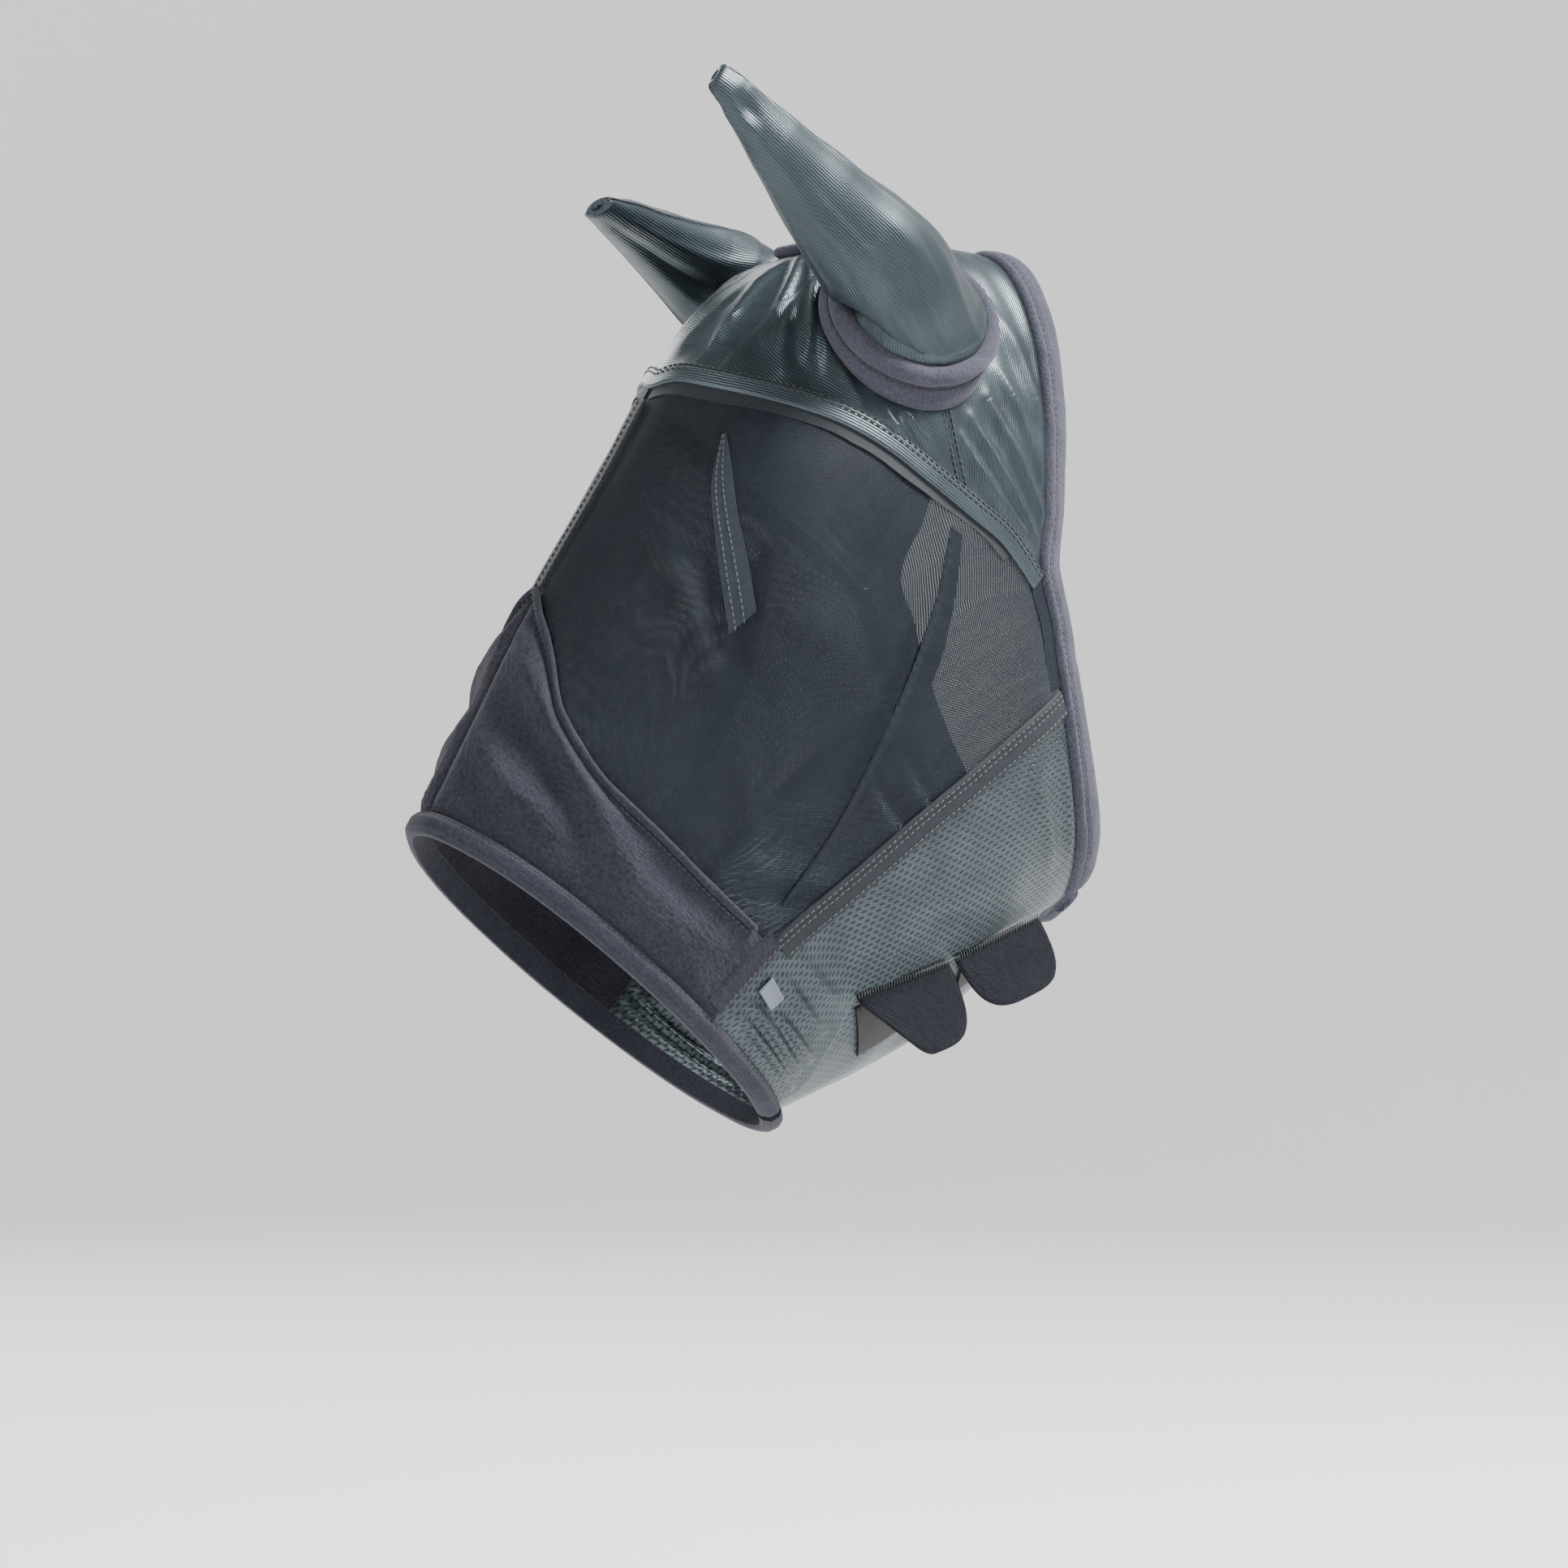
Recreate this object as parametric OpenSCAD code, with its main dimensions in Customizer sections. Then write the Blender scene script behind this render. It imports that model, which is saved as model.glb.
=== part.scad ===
// Fly mask with ear covers, worn by a horse whose face points along -Y.
// +X is the horse's left, where the mask opens under the jaw. +Z is up.
// The origin is where the crown sits on the poll, behind the ears.
//
// Every panel lies on one head form. A place on the form is [u, v]:
// u runs from 0 at the neck edge to 1 at the nose edge, and v runs round the
// head from 0 on the top centre line to 1 under the jaw, with the right side negative.

/* [Head] */
// Size of the head form, 1 for a cob
head_size = 1; // [0.85:0.01:1.12]
// Fullness of the head form across the cheeks
head_fullness = 1; // [0.92:0.01:1.08]

/* [Fabrics] */
// Thickness of the stretch knit
knit_t = 1.0; // [0.8:0.1:1.2]
// Thickness of the eye mesh
mesh_t = 0.9; // [0.7:0.1:1.1]
// Thickness of the fleece
fleece_t = 2.4; // [1.8:0.1:2.8]
// Gap left between two panels at a seam
seam_gap = 0.5; // [0.3:0.1:0.8]

/* [Bands and bindings] */
// Width of the knit band across the brow
brow_band_w = 12; // [9:1:15]
// Width of the tape along the jaw seam
jaw_tape_w = 15; // [12:1:18]
// Thickness of the bands and tapes
band_t = 1.4; // [1:0.1:1.8]
// Width of the fleece binding at the neck edge
neck_binding_w = 18; // [14:1:20]
// Width of the fleece binding at the nose edge
nose_binding_w = 13; // [10:1:15]
// How far the bindings stand out
binding_t = 5; // [4:0.5:6]
// Width of the fleece strip that ends the nose panel
end_strip_w = 12; // [10:1:14]

/* [Ears] */
// Radius of the ear opening along the head
ear_hole_along = 43; // [40:1:46]
// Radius of the padded roll on the ear collar
collar_roll_r = 5.5; // [4.5:0.5:6]
// Radius of an ear cover at its base
ear_base_r = 36; // [33:1:37]

/* [Closure] */
// Length of each closing tab along the edge
tab_length = 58; // [48:1:60]
// How far the front closing tab hangs down
tab_front_drop = 42; // [34:1:46]
// How far the rear closing tab hangs down
tab_rear_drop = 35; // [30:1:42]
// Thickness of a closing tab
tab_t = 2.0; // [1.6:0.1:2.4]
// How far the tabs stand off the jaw at rest, in degrees
tab_stand_off = 20; // [12:1:26]

/* [Hidden] */

knit_colour = "#5d7079";
dimple_colour = "#83969d";
mesh_colour = "#33414e";
fleece_colour = "#696b7c";
tape_colour = "#3c4551";
tab_colour = "#2f313a";

// Stations of the head form from the neck edge to the nose edge. Each holds the top
// centre point [Y, Z], the jaw centre point [Y, Z] and the half width at 0, 45, 90,
// 135 and 180 degrees round from the top.
form = [for (row = [
    [  18,   -2,   44, -342,  40, 54, 60, 70, 54],
    [ -44,    4,    8, -375,  56, 80, 88, 80, 48],
    [-112,   -4,  -18, -399,  64, 94, 95, 80, 44],
    [-176,  -53,  -44, -415,  60, 98, 94, 74, 40],
    [-224, -127,  -70, -428,  50, 86, 84, 66, 36],
    [-268, -197,  -96, -439,  42, 70, 72, 58, 33],
    [-320, -292, -122, -449,  38, 58, 60, 50, 30]
]) [for (i = [0:8]) row[i] * head_size * (i > 3 ? head_fullness : 1)]];
form_end = len(form) - 1;
// Squareness of the top of the cross-section, 1 is an ellipse
squareness = 0.72;

// Edge lines of the panels, each as [v, u]
neck_edge = [[0, 0], [0.11, -0.015], [0.23, -0.012], [0.34, 0.012], [0.43, 0.06], [0.475, 0.095],
    [0.52, 0.08], [0.57, 0.066], [0.69, 0.02], [0.82, -0.03], [0.9, -0.035], [1.1, -0.02]];
brow_line = [[0, 0.545], [0.11, 0.522], [0.165, 0.499], [0.23, 0.457], [0.3, 0.397], [0.355, 0.342],
    [0.397, 0.285], [0.434, 0.217], [0.488, 0.153], [0.51, 0.13]];
nose_line = [[0, 0.8], [0.055, 0.822], [0.12, 0.845], [0.19, 0.882], [0.29, 0.902],
    [0.41, 0.896], [0.495, 0.885], [0.59, 0.861], [0.62, 0.848]];
// Closing edge of the left jaw panel, as [share of the way from neck to nose, v]
closing_edge = [[0, 0.865], [0.2, 0.8], [0.39, 0.778], [0.55, 0.757], [0.7, 0.727],
    [0.78, 0.765], [0.92, 0.835], [1, 0.845]];
// Free edge of the right jaw panel, which wraps under the jaw to the left, in the same terms
wrapped_edge = [[0, 1.09], [0.15, 1.17], [0.3, 1.23], [0.6, 1.27], [0.75, 1.25], [0.9, 1.17], [1, 1.13]];

// Jaw seam as [u, v], straight when seen from the side
jaw_line = [[0, 0.58], [0.13, 0.597], [0.34, 0.617], [0.52, 0.62], [0.68, 0.613],
    [0.85, 0.608], [1, 0.605]];

// Brow and neck junction, and ends of the bindings, round the head
jaw_v = 0.61;
centre_v = 0.0006;
junction_v = 0.481;
flap_corner_v = 0.845;
neck_flap_end_v = 0.875;
right_nose_end_v = -1.13;
right_neck_end_v = -1.09;

// Ear opening and forelock opening
ear_u = 0.28;
ear_v = 0.213;
ear_hole_v = 0.1;
forelock_u = 0.285;
forelock_half_u = 0.05;
forelock_half_v = 0.066;
crown_seam_u = 0.28;
crown_seam_v = 0.362;

// Depth that the wrapped end of the right jaw panel lies inside the left one
underlap = 4;
over_t = knit_t + 0.6;

// Middle of each ear collar's rim, how far the ear cover starts above it and the roll lies
// below it, and where each ear cover's tip is from there
rim_height = 13;
ear_lift = 7;
collar_drop = 3;
ear_tip_left = [14, -124, 110];
ear_tip_right = [26, -117, 58];

// Curves

function mix(a, b, t) = a + (b - a) * t;
function ease(t) = let (c = min(1, max(0, t))) c * c * (3 - 2 * c);
function unit(p) = p / norm(p);
function spline(a, b, c, d, t) =
    0.5 * (2 * b + (c - a) * t + (2 * a - 5 * b + 4 * c - d) * t * t + (3 * b - a - 3 * c + d) * t * t * t);
function before(list, i) = i > 0 ? list[i - 1] : 2 * list[0] - list[1];
function after(list, i) = i < len(list) - 2 ? list[i + 2] : 2 * list[i + 1] - list[i];
function segment(table, x, i = 0) =
    i >= len(table) - 2 || x < table[i + 1][0] ? i : segment(table, x, i + 1);
// Smooth value at x of a table of [x, value]
function value_at(table, x) =
    let (i = segment(table, x), t = (x - table[i][0]) / (table[i + 1][0] - table[i][0]))
    spline(before(table, i)[1], table[i][1], table[i + 1][1], after(table, i)[1], t);
// Smooth line of n + 1 points through a list of points
function line_through(points, n) = [for (k = [0:n])
    let (f = k / n * (len(points) - 1), i = min(len(points) - 2, floor(f)))
    spline(before(points, i), points[i], points[i + 1], after(points, i), f - i)];
function flip_side(line) = [for (p = line) [p[0], -p[1]]];

// Head form

function station(u) =
    let (f = u * form_end, i = min(form_end - 1, max(0, floor(f))))
    spline(before(form, i), form[i], form[i + 1], after(form, i), f - i);
function width_step(row, k) = row[4 + (k < 0 ? -k : k > 4 ? 8 - k : k)];
function half_width(row, turn) =
    let (a = abs(turn) > 180 ? 360 - abs(turn) : abs(turn), i = min(3, floor(a / 45)))
    spline(width_step(row, i - 1), width_step(row, i), width_step(row, i + 1), width_step(row, i + 2),
        a / 45 - i);
function on_form(u, v) =
    let (row = station(u), s = sin(180 * v), down = (1 - cos(180 * v)) / 2)
    [sign(s) * pow(abs(s), squareness) * half_width(row, 180 * v),
     mix(row[0], row[2], down), mix(row[1], row[3], down)];
step_uv = 0.004;
function along_u(u, v) = (on_form(u + step_uv, v) - on_form(u - step_uv, v)) / (2 * step_uv);
function along_v(u, v) = (on_form(u, v + step_uv) - on_form(u, v - step_uv)) / (2 * step_uv);
function outward(u, v) = unit(cross(along_u(u, v), along_v(u, v)));
function place(p, out) = on_form(p[0], p[1]) + out * outward(p[0], p[1]);

// Place reached from p by going `length` millimetres towards the nose
function towards_nose(p, length) = [p[0] + length / norm(along_u(p[0], p[1])), p[1]];
// Line moved sideways over the form by `length` millimetres
function sideways(line, length) = [for (k = [0:len(line) - 1])
    let (p = line[k],
        ahead = line[min(k + 1, len(line) - 1)], behind = line[max(k - 1, 0)],
        du = along_u(p[0], p[1]), dv = along_v(p[0], p[1]),
        way = du * (ahead[0] - behind[0]) + dv * (ahead[1] - behind[1]),
        side = unit(cross(cross(du, dv), way)) * length,
        uu = du * du, uv = du * dv, vv = dv * dv, det = uu * vv - uv * uv,
        su = side * du, sv = side * dv)
    [p[0] + (su * vv - sv * uv) / det, p[1] + (sv * uu - su * uv) / det]];

function jaw_at(u) = value_at(jaw_line, u);
// Place a part `t` of the way between two edge lines, whose v is moved by `share` of the
// way that the jaw seam bends there
function bent(v, share, t, from_u, to_u) =
    let (w = v + sign(v) * (jaw_at(mix(from_u(v), to_u(v), t)) - jaw_v) * share)
    [mix(from_u(w), to_u(w), t), w];

function neck_u(v) = value_at(neck_edge, min(1.1, abs(v)));
function brow_u(v) = value_at(brow_line, abs(v));
function nose_u(v) = value_at(nose_line, abs(v));
function neck_inside(v) = towards_nose([neck_u(v), v], neck_binding_w + seam_gap)[0];
function nose_inside(v) = towards_nose([1, v], -seam_gap)[0];
panel_start = function(v) neck_inside(v);
panel_end = function(v) nose_inside(v);
function gap_u(u, v) = seam_gap / norm(along_u(u, v));

// Solids

// Closed sheet between two grids of n lines with m points each
module sheet(outer, inner, n, m, closed = false) {
    lines = closed ? n : n - 1;
    turn = cross(outer[m] - outer[0], outer[1] - outer[0]) * (outer[0] - inner[0]) > 0;
    function o(i, j) = (i % n) * m + j;
    function q(i, j) = n * m + (i % n) * m + j;
    skins = [for (i = [0:lines - 1]) for (j = [0:m - 2]) each [
        [o(i, j), o(i, j + 1), o(i + 1, j)], [o(i + 1, j), o(i, j + 1), o(i + 1, j + 1)],
        [q(i, j), q(i + 1, j), q(i, j + 1)], [q(i + 1, j), q(i + 1, j + 1), q(i, j + 1)]]];
    sides = [for (i = [0:lines - 1]) each [
        [o(i, 0), o(i + 1, 0), q(i, 0)], [o(i + 1, 0), q(i + 1, 0), q(i, 0)],
        [o(i, m - 1), q(i, m - 1), o(i + 1, m - 1)],
        [o(i + 1, m - 1), q(i, m - 1), q(i + 1, m - 1)]]];
    ends = closed ? [] : [for (j = [0:m - 2]) each [
        [o(0, j), q(0, j), o(0, j + 1)], [o(0, j + 1), q(0, j), q(0, j + 1)],
        [o(n - 1, j), o(n - 1, j + 1), q(n - 1, j)],
        [o(n - 1, j + 1), q(n - 1, j + 1), q(n - 1, j)]]];
    all_faces = concat(skins, sides, ends);
    polyhedron(points = concat(outer, inner),
        faces = turn ? all_faces : [for (f = all_faces) [f[2], f[1], f[0]]]);
}

// Sheet on the form over a grid of [u, v] places, from `low` to `high` outside it.
// `high` is one number, or one number for each column.
module panel(grid, low, high) {
    m = len(grid[0]);
    outer = [for (line = grid) for (j = [0:m - 1])
        place(line[j], is_list(high) ? high[j] : high)];
    inner = [for (line = grid) for (p = line) place(p, low)];
    sheet(outer, inner, len(grid), m);
}

// Grid of places between two lines, with `columns` steps from one to the other
function between(a, b, columns) = [for (k = [0:len(a) - 1])
    [for (j = [0:columns]) mix(a[k], b[k], j / columns)]];
// Grid that has its lines at the places `vs` round the head, between two functions of v
function across(vs, from_u, to_u, columns) = [for (v = vs)
    let (share = ease((abs(v) - 0.45) / (jaw_v - 0.45)))
    [for (j = [0:columns]) bent(v, share, j / columns, from_u, to_u)]];
function steps(a, b, n) = [for (k = [0:n]) mix(a, b, k / n)];

// Tape centred on a line, lying on top of the panels
module tape(line, width, low = over_t, high = over_t + band_t) {
    panel(between(sideways(line, -width / 2), sideways(line, width / 2), 2), low, high);
}

// Round roll along a list of points
module roll(points, radius, closed = false, sides = 8) {
    n = len(points);
    rings = closed ? n : n - 1;
    function near(k) = closed ? points[(k + n) % n] : points[min(n - 1, max(0, k))];
    lift = [for (k = [0:n - 1])
        let (way = unit(near(k + 1) - near(k - 1)), side = unit(cross(way, [0.2, 0.3, 1])),
            up = cross(side, way))
        for (a = [0:sides - 1]) points[k] + radius * (cos(360 * a / sides) * side
            + sin(360 * a / sides) * up)];
    function r(k, a) = (k % n) * sides + a % sides;
    skins = [for (k = [0:rings - 1]) for (a = [0:sides - 1]) each [
        [r(k, a), r(k, a + 1), r(k + 1, a)], [r(k + 1, a), r(k, a + 1), r(k + 1, a + 1)]]];
    ends = closed ? [] : [for (a = [1:sides - 2]) each [
        [r(0, 0), r(0, a + 1), r(0, a)], [r(n - 1, 0), r(n - 1, a), r(n - 1, a + 1)]]];
    polyhedron(points = lift, faces = concat(skins, ends));
}

// Crown

ear_half_u = ear_hole_along / norm(along_u(ear_u, ear_v));
function ear_reach(v) = ear_half_u * sqrt(max(0, 1 - pow((abs(v) - ear_v) / ear_hole_v, 2)));
function forelock_reach(v) = forelock_half_u * sqrt(max(0, 1 - pow(v / forelock_half_v, 2)));
function seam_u(v) = mix(forelock_u, crown_seam_u, ease((abs(v) - forelock_half_v) / 0.04));
// Middle of the openings and seams that part the two crown panels
function parting_u(v) = abs(v) < forelock_half_v ? forelock_u
    : abs(abs(v) - ear_v) < ear_hole_v ? ear_u + (crown_seam_u - ear_u) * (1 - ear_reach(v) / ear_half_u)
    : seam_u(v);
function parting_reach(v) = max(forelock_reach(v), ear_reach(v)) + gap_u(parting_u(v), v) / 2;
function poll_front(v) = abs(v) < crown_seam_v ? parting_u(v) - parting_reach(v)
    : brow_u(v) - gap_u(brow_u(v), v) / 2;
function brow_back(v) = parting_u(v) + parting_reach(v);
function brow_front(v) = brow_u(v) - gap_u(brow_u(v), v) / 2;

ear_steps = [for (a = [0:22.5:180]) ear_v - ear_hole_v * cos(a)];
forelock_steps = [for (a = [0:22.5:90]) forelock_half_v * sin(a)];
crown_left = concat(forelock_steps, ear_steps);
function mirrored(vs) = concat([for (k = [len(vs) - 1:-1:1]) -vs[k]], vs);

module poll_panel() {
    vs = mirrored(concat(crown_left, [0.334, crown_seam_v - 0.001, crown_seam_v + 0.001,
        0.39, 0.415, 0.445, junction_v - 0.006]));
    color(knit_colour)
        panel(across(vs, function(v) neck_inside(v), function(v) poll_front(v), 4), 0, knit_t);
}

module brow_panel() {
    vs = mirrored(concat(crown_left, [0.334, crown_seam_v - 0.002]));
    color(knit_colour)
        panel(across(vs, function(v) brow_back(v), function(v) brow_front(v), 4), 0, knit_t);
}

module brow_band() {
    vs = mirrored(steps(0, junction_v, 18));
    color(tape_colour) tape([for (v = vs) [brow_u(v), v]], brow_band_w);
}

module forelock_binding() {
    color(fleece_colour) roll([for (a = [0:15:345])
        place([forelock_u + forelock_half_u * cos(a), forelock_half_v * sin(a)], 4)], 2.6, closed = true);
}

// Mesh windows

function window_top(v) = max(brow_u(v) + gap_u(brow_u(v), v) / 2, neck_inside(v));
function window_foot(v) = nose_u(v) - gap_u(nose_u(v), v) / 2;

module mesh_window(side) {
    vs = concat([centre_v], steps(0.03, 0.44, 14), [0.465, junction_v, 0.51, 0.54, 0.575, jaw_v - 0.003]);
    color(mesh_colour) panel(across([for (v = vs) side * v], function(v) window_top(v),
        function(v) window_foot(v), 8), 0, mesh_t);
}

module centre_seam_tape() {
    color(tape_colour) tape([for (u = steps(0.566, 0.786, 12)) [u, 0]], 9);
}

eye_dart = [[0.572, 0.196], [0.597, 0.22], [0.628, 0.27], [0.652, 0.318]];
module eye_dart_tape(side) {
    line = line_through(eye_dart, 8);
    color(tape_colour) tape(side > 0 ? line : flip_side(line), 13, mesh_t + 0.5, mesh_t + 1.5);
}

module jaw_tape(side) {
    start_u = neck_inside(jaw_v - 0.06);
    end_u = nose_u(jaw_v) - 0.01;
    color(tape_colour) tape([for (u = steps(start_u, end_u, 16)) [u, side * jaw_at(u)]], jaw_tape_w);
}

// Nose

module nose_panel(side) {
    vs = concat([centre_v], steps(0.03, jaw_v - 0.003, 15));
    color(fleece_colour) panel(across([for (v = vs) side * v],
        function(v) nose_u(v) + gap_u(nose_u(v), v) / 2, function(v) nose_inside(v), 5), 0, fleece_t);
}

module nose_edging() {
    vs = mirrored(steps(0, jaw_v - 0.052, 20));
    color(fleece_colour) roll([for (v = vs) place([nose_u(v), v], fleece_t + 2.4)], 2, sides = 6);
}

module nose_end_strip(side) {
    line = [for (u = steps(nose_u(jaw_v) - 0.006, 0.985, 6)) [u, side * (jaw_at(u) - 0.017)]];
    color(fleece_colour) tape(line, end_strip_w, fleece_t + 0.6, 2 * fleece_t + 0.6);
}

// Bindings

// Rounded fleece band on one edge of the mask, `width` millimetres wide towards the nose
module binding(edge, width) {
    inside = [for (p = edge) towards_nose(p, width)];
    high = [0.4, 0.9, 1, 0.9, 0.4] * binding_t;
    color(fleece_colour) panel(between(edge, inside, 4), -0.5, high);
}

module nose_binding() {
    binding([for (v = steps(right_nose_end_v, jaw_v - 0.006, 46)) [1, v]], nose_binding_w);
}

module nose_binding_flap() {
    binding([for (v = steps(jaw_v + 0.006, flap_corner_v, 8)) [1, v]], nose_binding_w);
}

module neck_binding() {
    vs = concat(steps(right_neck_end_v, -0.52, 15), steps(-0.5, -0.46, 3), steps(-0.43, 0.43, 26),
        steps(0.46, 0.5, 3), steps(0.52, jaw_v - 0.006, 3));
    binding([for (v = vs) [neck_u(v), v]], neck_binding_w);
}

module neck_binding_flap() {
    binding([for (v = steps(jaw_v + 0.006, neck_flap_end_v, 8)) [neck_u(v), v]], neck_binding_w);
}

// Jaw

function closing_v(share) = value_at(closing_edge, share);
function under_left(v) = -underlap * ease((abs(v) - 0.94) / 0.1);

module jaw_panel_left() {
    grid = [for (share = steps(0, 1, 16)) [for (j = [0:6])
        bent(mix(jaw_v + 0.028, closing_v(share), j / 6), 1 - j / 6, share, panel_start, panel_end)]];
    color(dimple_colour) panel(grid, 0, knit_t);
}

module jaw_panel_right() {
    grid = [for (share = steps(0, 1, 16)) [for (j = [0:12])
        bent(-mix(jaw_v + 0.003, value_at(wrapped_edge, share), j / 12), 1 - j / 12, share,
            panel_start, panel_end)]];
    outer = [for (line = grid) for (p = line) place(p, under_left(p[1]) + knit_t)];
    inner = [for (line = grid) for (p = line) place(p, under_left(p[1]))];
    color(dimple_colour) sheet(outer, inner, 17, 13);
}

// Patch of hooks on the outside of the wrapped end, under the tabs
module hook_patch(from_u, to_u) {
    grid = [for (u = steps(from_u, to_u, 4)) [for (v = steps(-1.24, -1.13, 4)) [u, v]]];
    color(tab_colour) panel(grid, knit_t - underlap + 0.5, knit_t - underlap + 1.6);
}

// Closing tabs: a straight sewn edge and a rounded free end
function tab_start(share) = let (v = closing_v(share) + 0.008)
    place([mix(neck_inside(v), nose_inside(v), share), v], knit_t + 1);
tab_front_corner = tab_start(0.70);
tab_front_way = unit(tab_start(0.46) - tab_start(0.70));
tab_rear_corner = tab_start(0.4);
tab_rear_way = unit(tab_start(0.14) - tab_start(0.4) + [4, 0, 0]);

module tab(corner, way, drop) {
    out = unit(cross(way, [0, 0, 1]));
    face = unit(cos(tab_stand_off) * out + sin(tab_stand_off) * cross(out, way));
    down = cross(way, face);
    outline = concat([[0, 0], [tab_length, 0]], [for (a = [0:15:180])
        [tab_length / 2 * (1 + sign(cos(a)) * pow(abs(cos(a)), 0.62)),
         drop * pow(sin(a), 0.62) * 0.999 + 0.04]]);
    color(tab_colour) multmatrix([
        [way[0], down[0], -face[0], corner[0]],
        [way[1], down[1], -face[1], corner[1]],
        [way[2], down[2], -face[2], corner[2]],
        [0, 0, 0, 1]])
        linear_extrude(tab_t) polygon(outline);
}

// Small woven loop sewn into the end of the nose panel
module side_label() {
    grid = [for (u = steps(0.882, 0.915, 2)) [for (v = steps(0.625, 0.66, 2)) [u, v]]];
    color("#8590a0") panel(grid, 2.2, 3);
}

// Ears

rim_left = place([ear_u, ear_v + 0.008], rim_height);
rim_up = outward(ear_u, ear_v);
rim_front = unit(along_u(ear_u, ear_v) - (along_u(ear_u, ear_v) * rim_up) * rim_up);
rim_down = cross(rim_up, rim_front);
rim_along = ear_hole_along + 1;
rim_across = 39;

function other_side(p) = [-p[0], p[1], p[2]];
function rim_point(a, grow, lift) =
    rim_left + (rim_along + grow) * cos(a) * rim_front + (rim_across + grow) * sin(a) * rim_down
    + lift * rim_up;
function foot_point(a, out) =
    place([ear_u + ear_half_u * cos(a), ear_v + ear_hole_v * sin(a)], out);

module ear_collar() {
    color(fleece_colour)
        roll([for (a = [0:15:345]) rim_point(a, 0, -collar_drop)], collar_roll_r, closed = true);
}

module ear_base_band() {
    turn = [0:15:345];
    lower = [for (a = turn) foot_point(a, over_t)];
    upper = [for (a = turn) rim_point(a, 0, -collar_drop - 1 - collar_roll_r)];
    lower_out = [for (a = turn)
        foot_point(a, over_t) + fleece_t * unit(rim_point(a, 9, 0) - rim_point(a, 0, 0))];
    upper_out = [for (a = turn) rim_point(a, fleece_t, -collar_drop - 1 - collar_roll_r)];
    outer = [for (k = [0:23]) each [lower_out[k], upper_out[k]]];
    inner = [for (k = [0:23]) each [lower[k], upper[k]]];
    color(fleece_colour) sheet(outer, inner, 24, 2, closed = true);
}

// Radius of an ear cover across and through, from base to tip
ear_across = [[0, 1], [0.15, 0.97], [0.3, 0.87], [0.5, 0.69], [0.75, 0.43], [0.92, 0.28], [1, 0.17]];
ear_through = [[0, 0.86], [0.15, 0.79], [0.3, 0.68], [0.5, 0.52], [0.75, 0.33], [0.92, 0.18], [1, 0.07]];

// Middle line of an ear cover, which leaves the collar the more straight up the less `lean` is
function ear_middle(tip, lean, t) =
    let (a = rim_left + ear_lift * rim_up,
        b = a + 0.37 * norm(tip) * unit(rim_up + lean * unit(tip)),
        c = rim_left + tip)
    (1 - t) * (1 - t) * a + 2 * t * (1 - t) * b + t * t * c;

// One half of an ear cover, where the half turn starts at `from`
module ear_half(tip, lean, from) {
    n = 10;
    m = 8;
    function ring(t, grow) = let (
        along = unit(ear_middle(tip, lean, t + 0.02) - ear_middle(tip, lean, t - 0.02)),
        way = unit(mix(rim_up, along, ease(t / 0.35))),
        side = unit(rim_front - (rim_front * way) * way),
        thick = cross(way, side),
        across_r = max(0.7, ear_base_r * value_at(ear_across, t) + grow),
        through_r = max(0.5, ear_base_r * value_at(ear_through, t) + grow))
        [for (j = [0:m]) let (a = from + 1 + 178 * j / m)
            ear_middle(tip, lean, t) + across_r * cos(a) * side + through_r * sin(a) * thick];
    outer = [for (i = [0:n]) each ring(i / n, 0)];
    inner = [for (i = [0:n]) each ring(i / n, -knit_t)];
    color(knit_colour) sheet(outer, inner, n + 1, m + 1);
}

poll_panel();
brow_panel();
brow_band();
forelock_binding();
mesh_window(1);  // mesh_left
mesh_window(-1);  // mesh_right
centre_seam_tape();
eye_dart_tape(1);  // eye_dart_tape_left
eye_dart_tape(-1);  // eye_dart_tape_right
jaw_tape(1);  // jaw_tape_left
jaw_tape(-1);  // jaw_tape_right
nose_panel(1);  // nose_panel_left
nose_panel(-1);  // nose_panel_right
nose_edging();
nose_end_strip(1);  // nose_end_strip_left
nose_end_strip(-1);  // nose_end_strip_right
nose_binding();
nose_binding_flap();
neck_binding();
neck_binding_flap();
jaw_panel_left();
jaw_panel_right();
tab(tab_front_corner, tab_front_way, tab_front_drop);  // closure_tab_front
tab(tab_rear_corner, tab_rear_way, tab_rear_drop);  // closure_tab_rear
hook_patch(0.5, 0.72);  // hook_patch_front
hook_patch(0.16, 0.38);  // hook_patch_rear
ear_collar();  // ear_collar_left
mirror([1, 0, 0]) ear_collar();  // ear_collar_right
ear_base_band();  // ear_base_band_left
mirror([1, 0, 0]) ear_base_band();  // ear_base_band_right
ear_half(ear_tip_left, 6, 180);  // ear_cover_inner_left
ear_half(ear_tip_left, 6, 0);  // ear_cover_outer_left
mirror([1, 0, 0]) ear_half(other_side(ear_tip_right), 0.3, 180);  // ear_cover_inner_right
mirror([1, 0, 0]) ear_half(other_side(ear_tip_right), 0.3, 0);  // ear_cover_outer_right
side_label();
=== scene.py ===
# %% [markdown]
# # A horse's fly mask, sewn piece by piece
# The mask is a stretch-knit crown with two ear covers, see-through mesh over the eyes and
# cheeks, a fleece nose, a dimpled knit panel under the jaw and fleece bindings round both
# openings. Every piece could be modelled flat and simulated onto a head, but a fly mask
# already has its shape when it is worn, so here each piece is drawn straight onto one smooth
# head form. That keeps seams, tapes and stitches exactly where the frame's parts are.

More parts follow.
